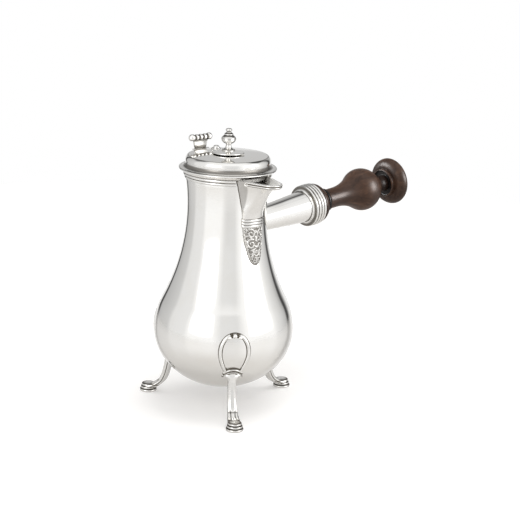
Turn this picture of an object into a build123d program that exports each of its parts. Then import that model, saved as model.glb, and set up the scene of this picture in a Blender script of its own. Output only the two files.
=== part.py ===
from build123d import *
from math import acos, atan2, cos, degrees, hypot, radians, sin, sqrt, tan
import os

# A silver chocolate pot: a pear-shaped vessel on three cast legs, with a beak spout,
# a turned side handle, and a hinged cover whose finial swings aside over the whisk hole.
# Millimetres. The origin is on the vessel's axis, at the height of the table.
# The handle points to +X, the spout to -Y and the hinge of the cover to +Y.

# ---- gaps between pieces
solder_seam = 0.05  # a soldered piece stands off the wall that carries it by this
working_gap = 0.3  # bodies that move past each other
pin_gap = 0.05  # radial, a pin in its hole
end_play = 0.05  # along a pin, between a head and the plate under it

# ---- vessel
pot_wall = 1.2
belly_radius = 59.2
belly_height = 67.0
belly_drop = 49.5  # from the widest line down to the lowest point
shoulder_arc = 62.0  # radius of the outline above the widest line
throat_radius = 33.4
throat_rise = 107.0  # from the widest line up to the narrowest
rim_radius = 35.0
neck_rise = 24.3  # from the narrowest line up to the foot of the rim band
rim_band = 5.2  # height of the upright band round the mouth

# ---- reeded moulding round the rim
rim_lower_reed = 1.2  # radii of the two reeds
rim_upper_reed = 1.4
rim_lower_reach = 1.0  # how far each reed stands out of the rim band
rim_upper_reach = 2.3
rim_land = 1.6  # width of the flat on top

# ---- spout
beak_wall = 1.2
beak_floor = 2.0
lip_drop = 0.3  # the lip lies this far below the rim
lip_proud = 28.6  # the tip of the beak stands this far out of the rim band
lip_nose = 8.0  # radius of the tip, in plan
lip_spread = 16.7  # half width where the lip leaves the rim
beak_length = 33.0  # from the lip down to the band that it stands on
beak_foot_proud = 4.8  # the beak's foot stands this far out of the narrowest line
beak_foot_nose = 15.0
beak_foot_spread = 9.7
spout_root = 20.0  # the outlines of the spout are closed this far from the axis
wire_reed = 1.45  # height of each of the two reeds under the lip
wire_reach = 1.2
wire_start = 40.0  # the wire starts this far from the axis
band_reeds = 3
band_reed = 2.35  # height of one reed of the band
band_groove = 0.5
band_reach = 0.7  # the reeds stand out of the beak by this
drop_length = 32.0  # the pendant drop under the band
drop_tip_nose = 4.0
drop_tip_proud = 1.2

# ---- cover
flange_overhang = 5.9  # past the rim band
flange_seat_width = 2.6  # the flat that lies over the rim reaches this far past the band
flange_lip = 1.0  # thickness at the edge
flange_edge_drop = 1.0  # the edge's upper side lies this far below the dome's foot
flange_height = 4.6  # from the rim up to the dome's foot
bezel_wall = 0.9
bezel_depth = 4.2  # how far the bezel drops into the mouth
bezel_gap = 0.5
bezel_taper = 0.7
dome_wall = 1.0
dome_foot_width = 1.9  # the dome's foot stands this far outside the rim band
waist_step = 1.2  # the dome draws in by this at its waist
waist_rise = 3.8
dome_cove = 0.5  # how far the cove above the foot is hollowed
crease_step = 3.5  # and by this at the crease round its crown
crease_rise = 8.9
shoulder_bulge = 0.95
crown_rise = 1.8  # from the crease to the middle
crown_bulge = 0.3
flange_hollow = 0.3  # how far the flange's two faces are hollowed

# ---- whisk hole, swivelling plate and finial
whisk_hole = 8.0  # radius
plate_radius = 13.8
plate_rim = 1.1  # thickness at the edge
plate_rise = 0.8  # the plate climbs this much to the finial
pivot_reach = 16.0  # from the axis to the rivet
ear_radius = 4.7
ear_root = 6.9  # radius of the circle from which the ear's flanks run
rivet_shank = 1.5
rivet_base = 3.85
rivet_base_height = 0.7
rivet_dome = 2.75
rivet_dome_height = 1.7
rivet_tail = 2.7
rivet_tail_height = 0.7
washer_radius = 3.4
finial_foot = 5.4  # radii of the finial, from its foot up
finial_waist = 2.3
finial_bulb = 6.2
finial_shoulder = 3.1
finial_collar = 3.6
finial_collar_top = 2.7
finial_neck = 1.9
finial_button = 2.7
finial_tenon = 1.4
finial_foot_edge = 0.9  # heights of its members, from its foot up
finial_cove = 4.0
finial_stem = 0.9
finial_bulb_below = 4.1
finial_bulb_above = 2.8
finial_bulb_round = 0.26  # bulge of the bulb's two arcs, as a share of their heights
finial_collar_edge = 1.3
finial_collar_slope = 0.8
finial_neck_height = 1.3
finial_button_below = 1.3
finial_button_above = 1.3

# ---- hinge of the cover
hinge_out = 1.7  # the pin lies this far outside the rim band
hinge_rise = 5.2  # and this far above the dome's foot
knuckle_radius = 2.1
knuckle_count = 5
hinge_length = 16.0
knuckle_play = 0.15
hinge_pin_radius = 0.9
leaf_thickness = 1.2
leaf_end = 60.0  # degrees round the barrel, where the leaf's free edge lies
bracket_out = 0.1  # from the rim band to the near face of the bracket
bracket_thickness = 2.0

# ---- thumbpiece
thumb_thickness = 1.4
thumb_foot_width = 11.0
thumb_top_width = 15.0
thumb_rise = 10.4  # from the pin to the plate's top
thumb_bow = 1.0
bead_row_rise = 2.4  # the beads' middles above the plate's top
bead_row_lean = 0.8  # and outside the pin
bead_radius = 2.7
end_bead_radius = 3.1
bead_pitch = 4.2
bead_count = 3

# ---- handle, measured along its own line from the vessel's axis
handle_drop = 20.26  # its line crosses the vessel's axis this far below the narrowest line
handle_rise = 5.79  # degrees
socket_wall = 1.0
socket_root = 22.0
socket_mouth = 97.0
socket_root_radius = 9.4
socket_mouth_radius = 14.55
collar_start = 85.6
collar_end = 99.3
collar_radius = 18.5
collar_lip = 1.6  # length of the plain lip in front of the reeds
collar_lip_hollow = 0.35
collar_reeds = 4
collar_swell = 0.4  # the middle reeds stand out by this
tenon_start = 52.0
tenon_gap = 0.1
handle_pin_radius = 1.2
handle_pin_place = 70.0
handle_pin_depth = 5.0  # how far the pin goes into the wood
handle_pin_head = 0.8

# ---- turned wood: radii and lengths of its members, from the collar outwards
wood_flange = 17.2
wood_flange_edge = 2.4
wood_ovolo = 5.8
wood_ovolo_bulge = 1.4
quirk_radius = 9.5
quirk = 1.4
wood_bead = 3.0
wood_bead_proud = 1.4
ring_radius = 9.85
wood_ring = 1.7
grip_neck = 8.85
grip_neck_place = 124.0
grip_radius = 19.0
grip_place = 157.0
grip_front_arc = 16.0
grip_back_arc = 17.5
knob_neck = 7.5
knob_neck_place = 179.5
knob_neck_length = 6.3
cup_depth = 1.9  # the knob's near face has a shallow cup with a rolled lip
cup_radius = 10.8
cup_lip = 1.9
cup_lip_round = 0.5
cup_quirk = 1.2
knob_radius = 21.0
knob_place = 194.0
knob_back = 2.4  # bulge of the knob's near face
knob_edge = 18.0
knob_edge_place = 198.0
wood_end = 200.6

# ---- legs and their cartouches
leg_count = 3
leg_top_drop = 23.6  # from the widest line down to the leg's top
leg_in = 8.9  # the leg's root lies this far inside the widest line
leg_width = 6.9
leg_depth = 6.6
leg_taper = 0.28  # the leg loses this share of its depth on the way down
knee_height = 28.0
knee_out = 0.6  # the leg stands this far out of its root at the knee
ankle_in = 1.0  # the ankle lies this far inside the widest line
ankle_height = 9.6
ankle_width = 11.0
leg_stations = 7
reeds_start = 0.5  # the leg's face is plain for this share of its way, then three reeds grow from it
reeds_growth = 0.25
foot_out = 9.8  # the foot's middle stands this far outside the widest line
foot_radius = 7.4
foot_steps = 3
foot_step = 2.3  # height of one step
foot_step_in = 0.8
foot_crown = 0.6
toe_height = 4.7  # the leg's curve ends in the foot at this height
cartouche_reed = 1.35
cartouche_rise = 2.6  # the loop starts this far above the leg's top
cartouche_length = 33.0
cartouche_proud = 0.45  # the reed's centre stands off the vessel by this
collar_arc = 8.0  # half width of the small collar over the leg
collar_bands = 2
crest_lobe = 2.0
crest_scroll = 1.55
crest_spread = 3.4

# ---- heights above the table and reaches from the axis that follow from these sizes
throat_height = belly_height + throat_rise
rim_base = throat_height + neck_rise
rim_height = rim_base + rim_band
lip_height = rim_height - lip_drop
lip_reach = rim_radius + lip_proud
beak_foot = lip_height - beak_length
beak_foot_reach = throat_radius + beak_foot_proud
seat_height = rim_height + working_gap
flange_top = seat_height + flange_height
flange_edge = flange_top - flange_edge_drop
flange_reach = rim_radius + flange_overhang
flange_seat = rim_radius + flange_seat_width
dome_foot = rim_radius + dome_foot_width
dome_waist = dome_foot - waist_step
dome_waist_height = flange_top + waist_rise
crease_radius = dome_foot - crease_step
crease_height = flange_top + crease_rise
crown_height = crease_height + crown_rise
hinge_reach = rim_radius + hinge_out
hinge_height = flange_top + hinge_rise
bracket_face = rim_radius + bracket_out
thumb_top = hinge_height + thumb_rise
bead_row_height = thumb_top + bead_row_rise
bead_row_reach = hinge_reach + bead_row_lean
handle_height = throat_height - handle_drop
leg_top = belly_height - leg_top_drop
leg_reach = belly_radius - leg_in
ankle_reach = belly_radius - ankle_in
foot_reach = belly_radius + foot_out
cartouche_foot = leg_top + cartouche_rise
cartouche_top = cartouche_foot + cartouche_length

os.makedirs("parts", exist_ok=True)


def save(piece, name):
    piece.label = name
    export_step(piece, f"parts/{name}.step")
    print(name)


def bow(start, end, bulge):
    """An arc between two points of a sketch that bulges to the right of the way from start to end."""
    run = hypot(end[0] - start[0], end[1] - start[1])
    across = ((end[1] - start[1]) / run, (start[0] - end[0]) / run)
    middle = ((start[0] + end[0]) / 2 + across[0] * bulge, (start[1] + end[1]) / 2 + across[1] * bulge)
    return ThreePointArc(start, middle, end)


def cap_bulge(across, along):
    """Bulge of an arc that ends square to the axis, from its two distances to that end."""
    return hypot(across, along) / 2 * tan(atan2(along, across) / 2)


# ================================================================ the vessel's outline
shoulder_centre = (belly_radius - shoulder_arc, belly_height)
throat_step = throat_radius - shoulder_centre[0]
throat_arc = (throat_step**2 + throat_rise**2 - shoulder_arc**2) / (2 * (shoulder_arc - throat_step))
throat_centre = (throat_radius + throat_arc, throat_height)
turn = degrees(atan2(throat_rise, throat_centre[0] - shoulder_centre[0]))
turn_height = belly_height + shoulder_arc * sin(radians(turn))
neck_turn = degrees(atan2(rim_base - throat_height, throat_arc))


def vessel_radius(z):
    """Outer radius of the vessel's wall at a height."""
    if z < belly_height:
        return belly_radius * sqrt(1 - ((belly_height - z) / belly_drop) ** 2)
    if z < turn_height:
        return shoulder_centre[0] + sqrt(shoulder_arc**2 - (z - belly_height) ** 2)
    return throat_centre[0] - sqrt(throat_arc**2 - (z - throat_height) ** 2)


def vessel_form(inset, top):
    """The solid inside the vessel's outline, moved inwards by inset and closed at a height."""
    with BuildPart() as form:
        with BuildSketch(Plane.XZ):
            with BuildLine():
                bowl = EllipticalCenterArc(
                    (0, belly_height), belly_radius - inset, belly_drop - inset, -90, arc_size=90
                )
                CenterArc(shoulder_centre, shoulder_arc - inset, 0, turn)
                neck = CenterArc(throat_centre, throat_arc + inset, 180 + turn, -turn - neck_turn)
                Polyline(
                    neck @ 1,
                    (rim_radius - inset, rim_base),
                    (rim_radius - inset, top),
                    (0, top),
                    bowl @ 0,
                )
            make_face()
        revolve(axis=Axis.Z)
    return form.part


trim_form = vessel_form(-solder_seam, rim_height + rim_band)


# ================================================================ the spout's form
def spout_plan(spread, reach, nose, height):
    """Plan of the spout: two flanks that rise from the neck and run into a round nose."""
    foot = sqrt(vessel_radius(min(height, rim_base)) ** 2 - spread**2)
    centre = reach - nose
    span = hypot(spread, centre - foot)
    if span > nose:
        lead = atan2(spread, foot - centre) - acos(nose / span)
        side = (nose * sin(lead), centre + nose * cos(lead))
        base = spread + (foot - spout_root) * (spread - side[0]) / (side[1] - foot)
    else:
        side = (spread, centre + sqrt(nose**2 - spread**2))
        base = spread
    with BuildSketch(Plane.XY.offset(height)) as plan:
        with BuildLine():
            Line((base, -spout_root), (side[0], -side[1]))
            ThreePointArc((side[0], -side[1]), (0, -reach), (-side[0], -side[1]))
            Polyline((-side[0], -side[1]), (-base, -spout_root), (base, -spout_root))
        make_face()
    return plan.sketch


# height up the beak, then spread, reach and nose, as shares of the way from its foot to the lip
beak_stations = (
    (0.00, 0.00, 0.000, 0.00),
    (0.18, 0.08, 0.085, 0.36),
    (0.43, 0.34, 0.270, 0.80),
    (0.62, 0.55, 0.430, 0.94),
    (0.80, 0.78, 0.630, 1.00),
    (1.00, 1.00, 1.000, 1.00),
)


def beak_form(inset, floor, headroom):
    """The beak as a solid, moved inwards by inset, from above its floor to above the lip."""
    with BuildPart() as form:
        for up, wide, out, tight in beak_stations:
            height = beak_foot + floor + up * (lip_height - beak_foot - floor)
            spread = beak_foot_spread + wide * (lip_spread - beak_foot_spread) - inset
            reach = beak_foot_reach + out * (lip_reach - beak_foot_reach) - inset
            nose = beak_foot_nose + tight * (lip_nose - beak_foot_nose) - inset
            add(spout_plan(spread, reach, nose, height))
        loft()
        if headroom > 0:
            extrude(form.faces().sort_by(Axis.Z)[-1], amount=headroom)
    return form.part


# ================================================================ vessel and rim
mouth_passage = beak_form(beak_wall, beak_floor, rim_height - lip_height + working_gap)
beak_outside = beak_form(0, 0, 0)
beak_clearance = beak_form(-solder_seam, 0, rim_height - lip_height + working_gap)

with BuildPart() as vessel:
    add(vessel_form(0, rim_height))
    add(vessel_form(pot_wall, rim_height + working_gap), mode=Mode.SUBTRACT)
    add(mouth_passage, mode=Mode.SUBTRACT)
save(vessel.part, "vessel")

with BuildPart() as rim_moulding:
    with BuildSketch(Plane.XZ):
        with Locations((rim_radius + rim_lower_reach - rim_lower_reed, rim_base + rim_lower_reed)):
            Circle(rim_lower_reed)
        with Locations((rim_radius + rim_upper_reach - rim_upper_reed, rim_height - rim_upper_reed)):
            Circle(rim_upper_reed)
        with Locations((rim_radius, rim_height)):
            Rectangle(rim_land, rim_height - rim_base - rim_lower_reed, align=(Align.MIN, Align.MAX))
        with Locations((rim_radius + solder_seam, rim_base)):
            Rectangle(rim_radius, rim_height, align=(Align.MAX, Align.MIN), mode=Mode.SUBTRACT)
    revolve(axis=Axis.Z)
    add(beak_clearance, mode=Mode.SUBTRACT)
save(rim_moulding.part, "rim_moulding")

# ================================================================ spout
with BuildPart() as spout_beak:
    add(beak_outside)
    add(mouth_passage, mode=Mode.SUBTRACT)
    add(trim_form, mode=Mode.SUBTRACT)
save(spout_beak.part, "spout_beak")

# two reeds, one on the other, follow the lip round the tip
wire_inside = beak_form(-solder_seam, 0, 2 * wire_reed)
with BuildPart() as spout_lip_wire:
    for step in range(2):
        grow = wire_reach + step * solder_seam
        reed_base = lip_height - wire_reed + step * wire_reed
        reed_plan = spout_plan(lip_spread + grow, lip_reach + grow, lip_nose + grow, reed_base)
        extrude(reed_plan, amount=wire_reed)
    add(wire_inside, mode=Mode.SUBTRACT)
    with Locations((0, -wire_start, lip_height)):
        Box(
            4 * lip_spread,
            2 * wire_start,
            4 * wire_reed,
            align=(Align.CENTER, Align.MIN, Align.CENTER),
            mode=Mode.SUBTRACT,
        )
save(spout_lip_wire.part, "spout_lip_wire")

band_height = band_reeds * band_reed
band_bottom = beak_foot - band_height
with BuildPart() as spout_band:
    core = spout_plan(beak_foot_spread, beak_foot_reach, beak_foot_nose, band_bottom)
    extrude(core, amount=band_height)
    for reed in range(band_reeds):
        reed_plan = spout_plan(
            beak_foot_spread + band_reach,
            beak_foot_reach + band_reach,
            beak_foot_nose + band_reach,
            band_bottom + reed * band_reed,
        )
        extrude(reed_plan, amount=band_reed - band_groove)
    reed_face = -beak_foot_reach - band_reach / 2
    reed_edges = spout_band.edges().filter_by(lambda edge: edge.center().Y < reed_face)
    fillet(reed_edges, (band_reed - band_groove) * 0.4)
    add(trim_form, mode=Mode.SUBTRACT)
save(spout_band.part, "spout_band")

# height down the drop, its half width, and how far its face has come in, as shares
drop_stations = (
    (0.00, 1.00, 0.00),
    (0.33, 0.88, 0.05),
    (0.60, 0.71, 0.15),
    (0.82, 0.52, 0.35),
    (0.95, 0.30, 0.70),
    (1.00, 0.10, 1.00),
)
with BuildPart() as spout_drop:
    top_proud = beak_foot_reach - throat_radius
    for down, wide, back in drop_stations:
        height = band_bottom - down * drop_length
        proud = top_proud + back * (drop_tip_proud - top_proud)
        nose = beak_foot_nose + back * (drop_tip_nose - beak_foot_nose)
        add(spout_plan(wide * beak_foot_spread, vessel_radius(height) + proud, nose, height))
    loft()
    add(trim_form, mode=Mode.SUBTRACT)
save(spout_drop.part, "spout_drop")

# ================================================================ cover
bezel_radius = rim_radius - pot_wall - bezel_gap
hinge_half = hinge_length / 2
notch_half = hinge_half + working_gap
leaf_inner = knuckle_radius + working_gap
leaf_outer = leaf_inner + leaf_thickness
leaf_back = hinge_reach - leaf_outer
bracket_near = bracket_face - working_gap


def crown_outline(inset):
    """The dome's outline from its foot to the axis, moved inwards by inset."""
    foot = (dome_foot - inset, flange_top)
    waist = (dome_waist - inset, dome_waist_height)
    crease = (crease_radius - inset, crease_height - inset)
    top = (0, crown_height - inset)
    with BuildPart() as form:
        with BuildSketch(Plane.XZ):
            with BuildLine():
                bow(foot, waist, -dome_cove)
                bow(waist, crease, shoulder_bulge)
                bow(crease, top, crown_bulge)
                Polyline(top, (0, flange_top), foot)
            make_face()
        revolve(axis=Axis.Z)
    return form.part


def crown_level(reach, inset):
    """Height of the dome's face, moved inwards by inset, at a distance from the axis inside the crease."""
    share = reach / (crease_radius - inset)
    return crown_height - inset - crown_rise * share + crown_bulge * (1 - (2 * share - 1) ** 2)


dome_form = crown_outline(0)
dome_inside = crown_outline(dome_wall)
with BuildPart() as cover_dome:
    add(dome_form)
    add(dome_inside, mode=Mode.SUBTRACT)
    with Locations((0, 0, crown_height)):
        Cylinder(whisk_hole, 4 * dome_wall, mode=Mode.SUBTRACT)
    with Locations((0, pivot_reach, crown_height)):
        Cylinder(rivet_shank + solder_seam, 6 * dome_wall, mode=Mode.SUBTRACT)
    with Locations((0, leaf_back - solder_seam, flange_top)):
        Box(
            2 * notch_half,
            dome_foot,
            crown_height,
            align=(Align.CENTER, Align.MIN, Align.CENTER),
            mode=Mode.SUBTRACT,
        )
save(cover_dome.part, "cover_dome")

with BuildPart() as cover_flange:
    inner = bezel_radius + solder_seam
    edge_low = (flange_reach, flange_edge - flange_lip)
    edge_high = (flange_reach, flange_edge)
    with BuildSketch(Plane.XZ):
        with BuildLine():
            Line((inner, seat_height), (flange_seat, seat_height))
            bow((flange_seat, seat_height), edge_low, -flange_hollow)
            bow(edge_low, edge_high, flange_lip / 3)
            bow(edge_high, (dome_foot + solder_seam, flange_top), -flange_hollow)
            Polyline((dome_foot + solder_seam, flange_top), (inner, flange_top), (inner, seat_height))
        make_face()
    revolve(axis=Axis.Z)
    with Locations((0, bracket_near, seat_height)):
        Box(
            2 * notch_half,
            flange_reach,
            4 * (flange_top - seat_height),
            align=(Align.CENTER, Align.MIN, Align.CENTER),
            mode=Mode.SUBTRACT,
        )
save(cover_flange.part, "cover_flange")

with BuildPart() as cover_bezel:
    low = seat_height - bezel_depth
    with BuildSketch(Plane.XZ):
        with BuildLine():
            Polyline(
                (bezel_radius, flange_top),
                (bezel_radius, seat_height),
                (bezel_radius - bezel_taper, low),
                (bezel_radius - bezel_taper - bezel_wall, low),
                (bezel_radius - bezel_wall, seat_height),
                (bezel_radius - bezel_wall, flange_top),
                close=True,
            )
        make_face()
    revolve(axis=Axis.Z)
save(cover_bezel.part, "cover_bezel")

# ================================================================ hinge
knuckle_pitch = hinge_length / knuckle_count
knuckle_length = knuckle_pitch - knuckle_play
hinge_place = (hinge_reach, hinge_height)


def knuckle_start(index):
    return -hinge_half + index * knuckle_pitch + knuckle_play / 2


with BuildPart() as hinge_bracket:
    plate_top = hinge_height - leaf_inner - working_gap
    with BuildSketch(Plane.YZ.offset(-hinge_half)):
        with Locations((bracket_face, rim_height)):
            Rectangle(bracket_thickness, plate_top - rim_height, align=(Align.MIN, Align.MIN))
    extrude(amount=hinge_length)
    for index in range(0, knuckle_count, 2):
        with BuildSketch(Plane.YZ.offset(knuckle_start(index))):
            with Locations((bracket_face, rim_height)):
                Rectangle(bracket_thickness, hinge_height - rim_height, align=(Align.MIN, Align.MIN))
            with Locations(hinge_place):
                Circle(knuckle_radius)
                Circle(hinge_pin_radius + pin_gap, mode=Mode.SUBTRACT)
        extrude(amount=knuckle_length)
save(hinge_bracket.part, "hinge_bracket")

with BuildPart() as hinge_pin:
    with BuildSketch(Plane.YZ.offset(-hinge_half)):
        with Locations(hinge_place):
            Circle(hinge_pin_radius)
    extrude(amount=hinge_length)
    chamfer(hinge_pin.edges(), hinge_pin_radius * 0.25)
save(hinge_pin.part, "hinge_pin")


def leaf_side(start, hollow):
    """Side view of the leaf that curls over the barrel of the hinge."""
    far = 2 * leaf_outer
    with BuildSketch(Plane.YZ.offset(start)) as side:
        with Locations(hinge_place):
            Circle(leaf_outer)
            Polygon(
                (0, 0),
                (far * cos(radians(leaf_end)), far * sin(radians(leaf_end))),
                (far, -far),
                (-far, -far),
                (-far, 0),
                align=None,
                mode=Mode.SUBTRACT,
            )
        with Locations((leaf_back, flange_top)):
            Rectangle(leaf_thickness, hinge_height - flange_top, align=(Align.MIN, Align.MIN))
        with Locations(hinge_place):
            if hollow:
                Circle(leaf_inner, mode=Mode.SUBTRACT)
            else:
                Circle(knuckle_radius)
                Circle(hinge_pin_radius + pin_gap, mode=Mode.SUBTRACT)
    return side.sketch


with BuildPart() as cover_hinge_leaf:
    extrude(leaf_side(-hinge_half, True), amount=hinge_length)
    for index in range(1, knuckle_count, 2):
        extrude(leaf_side(knuckle_start(index), False), amount=knuckle_length)
save(cover_hinge_leaf.part, "cover_hinge_leaf")

# ================================================================ thumbpiece
leaf_top = hinge_height + leaf_outer
with BuildPart() as thumbpiece:
    near_foot = (hinge_reach - thumb_thickness, hinge_height)
    near_top = (bead_row_reach - thumb_thickness / 2, thumb_top)
    far_foot = (hinge_reach, hinge_height)
    far_top = (bead_row_reach + thumb_thickness / 2, thumb_top)
    with BuildSketch(Plane.YZ.offset(-thumb_top_width / 2)):
        with BuildLine():
            bow(near_foot, near_top, thumb_bow)
            Line(near_top, far_top)
            bow(far_top, far_foot, -thumb_bow)
            Line(far_foot, near_foot)
        make_face()
    extrude(amount=thumb_top_width)
    with BuildSketch(Plane.XZ.offset(-hinge_reach - flange_reach)):
        with BuildLine():
            Polyline(
                (-thumb_foot_width / 2, leaf_top - leaf_thickness),
                (thumb_foot_width / 2, leaf_top - leaf_thickness),
                (thumb_top_width / 2, thumb_top),
                (-thumb_top_width / 2, thumb_top),
                close=True,
            )
        make_face()
    extrude(amount=flange_reach, mode=Mode.INTERSECT)
    with BuildSketch(Plane.YZ.offset(-hinge_length)):
        with Locations(hinge_place):
            Circle(leaf_outer + solder_seam)
    extrude(amount=2 * hinge_length, mode=Mode.SUBTRACT)
save(thumbpiece.part, "thumbpiece")

with BuildPart() as thumb_beads:
    row = (bead_row_reach, bead_row_height)
    end_place = (bead_count * bead_pitch) / 2 + end_bead_radius * 0.84
    for index in range(bead_count):
        with Locations(((index - (bead_count - 1) / 2) * bead_pitch, *row)):
            Sphere(bead_radius)
    for side in (-1, 1):
        with Locations((side * end_place, *row)):
            Sphere(end_bead_radius)
    split(bisect_by=Plane.XY.offset(thumb_top), keep=Keep.TOP)
save(thumb_beads.part, "thumb_beads")

# ================================================================ swivelling plate and finial
plate_base = crown_height + working_gap
plate_top = plate_base + plate_rim + plate_rise
ear_top = plate_base + plate_rim
with BuildPart() as swivel_plate:
    rim_low = (plate_radius - plate_rim / 2, plate_base)
    rim_high = (plate_radius - plate_rim / 2, ear_top)
    with BuildSketch(Plane.XZ):
        with BuildLine():
            Polyline((0, plate_top), (finial_foot, plate_top), rim_high)
            bow(rim_high, rim_low, -plate_rim / 2)
            Polyline(rim_low, (0, plate_base), (0, plate_top))
        make_face()
    revolve(axis=Axis.Z)
    with BuildSketch(Plane.XY.offset(plate_base)):
        with Locations((0, pivot_reach)):
            Circle(ear_radius)
        with Locations((0, plate_radius - ear_root)):
            Circle(ear_root)
        make_hull()
    extrude(amount=plate_rim)
    with Locations((0, pivot_reach, plate_base)):
        Cylinder(rivet_shank + pin_gap, 4 * plate_rim, mode=Mode.SUBTRACT)
    with Locations((0, pivot_reach, ear_top)):
        Cylinder(
            rivet_base + working_gap,
            4 * plate_rim,
            align=(Align.CENTER, Align.CENTER, Align.MIN),
            mode=Mode.SUBTRACT,
        )
    with Locations((0, 0, plate_base)):
        Cylinder(finial_tenon + solder_seam, 6 * plate_rim, mode=Mode.SUBTRACT)
save(swivel_plate.part, "swivel_plate")

with BuildPart() as finial:
    foot_level = plate_top + finial_foot_edge
    stem_level = foot_level + finial_cove
    bulb_foot = stem_level + finial_stem
    bulb_level = bulb_foot + finial_bulb_below
    collar_level = bulb_level + finial_bulb_above
    collar_top = collar_level + finial_collar_edge
    neck_foot = collar_top + finial_collar_slope
    neck_top = neck_foot + finial_neck_height
    button_level = neck_top + finial_button_below
    finial_top = button_level + finial_button_above
    with BuildSketch(Plane.XZ):
        with BuildLine():
            Polyline(
                (0, plate_base),
                (finial_tenon, plate_base),
                (finial_tenon, plate_top),
                (finial_foot, plate_top),
                (finial_foot, foot_level),
            )
            bow((finial_foot, foot_level), (finial_waist, stem_level), -finial_cove / 4)
            Line((finial_waist, stem_level), (finial_waist, bulb_foot))
            bow((finial_waist, bulb_foot), (finial_bulb, bulb_level), finial_bulb_below * finial_bulb_round)
            bow((finial_bulb, bulb_level), (finial_shoulder, collar_level), finial_bulb_above * finial_bulb_round)
            Polyline(
                (finial_shoulder, collar_level),
                (finial_collar, collar_level),
                (finial_collar, collar_top),
                (finial_collar_top, neck_foot),
            )
            bow((finial_collar_top, neck_foot), (finial_neck, neck_top), -finial_neck_height / 4)
            bow((finial_neck, neck_top), (finial_button, button_level), finial_button_below / 4)
            bow(
                (finial_button, button_level),
                (0, finial_top),
                cap_bulge(finial_button, finial_button_above),
            )
            Line((0, finial_top), (0, plate_base))
        make_face()
    revolve(axis=Axis.Z)
save(finial.part, "finial")

with BuildPart() as swivel_rivet:
    head = ear_top + end_play
    dome_base = head + rivet_base_height
    tail = crown_level(pivot_reach + rivet_tail, dome_wall) - solder_seam
    with BuildSketch(Plane.XZ.offset(-pivot_reach)):
        with BuildLine():
            Polyline(
                (0, tail - rivet_tail_height),
                (rivet_tail, tail - rivet_tail_height),
                (rivet_tail, tail),
                (rivet_shank, tail),
                (rivet_shank, head),
                (rivet_base, head),
                (rivet_base, head + rivet_base_height / 2),
                (rivet_dome, dome_base),
            )
            bow(
                (rivet_dome, dome_base),
                (0, dome_base + rivet_dome_height),
                cap_bulge(rivet_dome, rivet_dome_height),
            )
            Line((0, dome_base + rivet_dome_height), (0, tail - rivet_tail_height))
        make_face()
    revolve(axis=Axis((0, pivot_reach, 0), (0, 0, 1)))
save(swivel_rivet.part, "swivel_rivet")

with BuildPart() as pivot_washer:
    with Locations((0, pivot_reach, plate_base - end_play)):
        Cylinder(washer_radius, 2 * dome_wall, align=(Align.CENTER, Align.CENTER, Align.MAX))
        Cylinder(rivet_shank + solder_seam, 6 * dome_wall, mode=Mode.SUBTRACT)
    add(dome_form, mode=Mode.SUBTRACT)
save(pivot_washer.part, "pivot_washer")

# ================================================================ handle
tilt = radians(handle_rise)
handle_line = Axis((0, 0, handle_height), (cos(tilt), 0, sin(tilt)))
handle_plane = Plane((0, 0, handle_height), x_dir=(cos(tilt), 0, sin(tilt)), z_dir=(0, -1, 0))
socket_slope = (socket_mouth_radius - socket_root_radius) / (socket_mouth - socket_root)


def socket_radius(place):
    """Outer radius of the tapering socket at a place along the handle's line."""
    return socket_root_radius + socket_slope * (place - socket_root)


def tenon_radius(place):
    return socket_radius(place) - socket_wall - tenon_gap


pin_foot = handle_line.position + handle_line.direction * handle_pin_place
pin_plane = Plane(pin_foot, z_dir=(sin(tilt), 0, -cos(tilt)))


def handle_pin_hole(gap):
    """A round bar along the pin's line, square to the handle, to cut its hole."""
    with BuildPart() as bar:
        with BuildSketch(pin_plane):
            Circle(handle_pin_radius + gap)
        extrude(amount=2 * socket_mouth_radius)
    return bar.part


with BuildPart() as handle_socket:
    with BuildSketch(handle_plane):
        with BuildLine():
            Polyline(
                (socket_root, socket_root_radius),
                (socket_mouth, socket_mouth_radius),
                (socket_mouth, socket_mouth_radius - socket_wall),
                (socket_root, socket_root_radius - socket_wall),
                close=True,
            )
        make_face()
    revolve(axis=handle_line)
    add(trim_form, mode=Mode.SUBTRACT)
    add(handle_pin_hole(solder_seam), mode=Mode.SUBTRACT)
save(handle_socket.part, "handle_socket")

first_reed = collar_start + collar_lip
collar_reed = (collar_end - first_reed) / (2 * collar_reeds)  # radius of one reed
with BuildPart() as socket_collar:
    reed_floor = collar_radius - collar_reed
    reed_seat = collar_radius - collar_swell - collar_reed
    with BuildSketch(handle_plane):
        with BuildLine():
            lip_start = (collar_start, socket_radius(collar_start) + solder_seam)
            lip_end = (first_reed, reed_floor)
            bow(lip_start, lip_end, collar_lip_hollow)
            Polyline(
                lip_end,
                (collar_end, reed_floor),
                (collar_end, socket_radius(collar_end) + solder_seam),
                lip_start,
            )
        make_face()
        for index in range(collar_reeds):
            swell = collar_swell * sin(radians(180 * (index + 0.5) / collar_reeds))
            with Locations((first_reed + (2 * index + 1) * collar_reed, reed_seat + swell)):
                Circle(collar_reed)
    revolve(axis=handle_line)
save(socket_collar.part, "socket_collar")

# the grip is two arcs that meet the two necks without a corner
front_reach = grip_place - grip_neck_place
front_drop = grip_neck - (grip_radius - grip_front_arc)
front_arc = (front_reach**2 + front_drop**2 - grip_front_arc**2) / (2 * (grip_front_arc - front_drop))
front_turn = degrees(atan2(front_reach, front_drop + front_arc))
back_reach = knob_neck_place - grip_place
back_drop = knob_neck - (grip_radius - grip_back_arc)
back_arc = (back_reach**2 + back_drop**2 - grip_back_arc**2) / (2 * (grip_back_arc - back_drop))
back_turn = degrees(atan2(back_reach, back_drop + back_arc))

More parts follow.
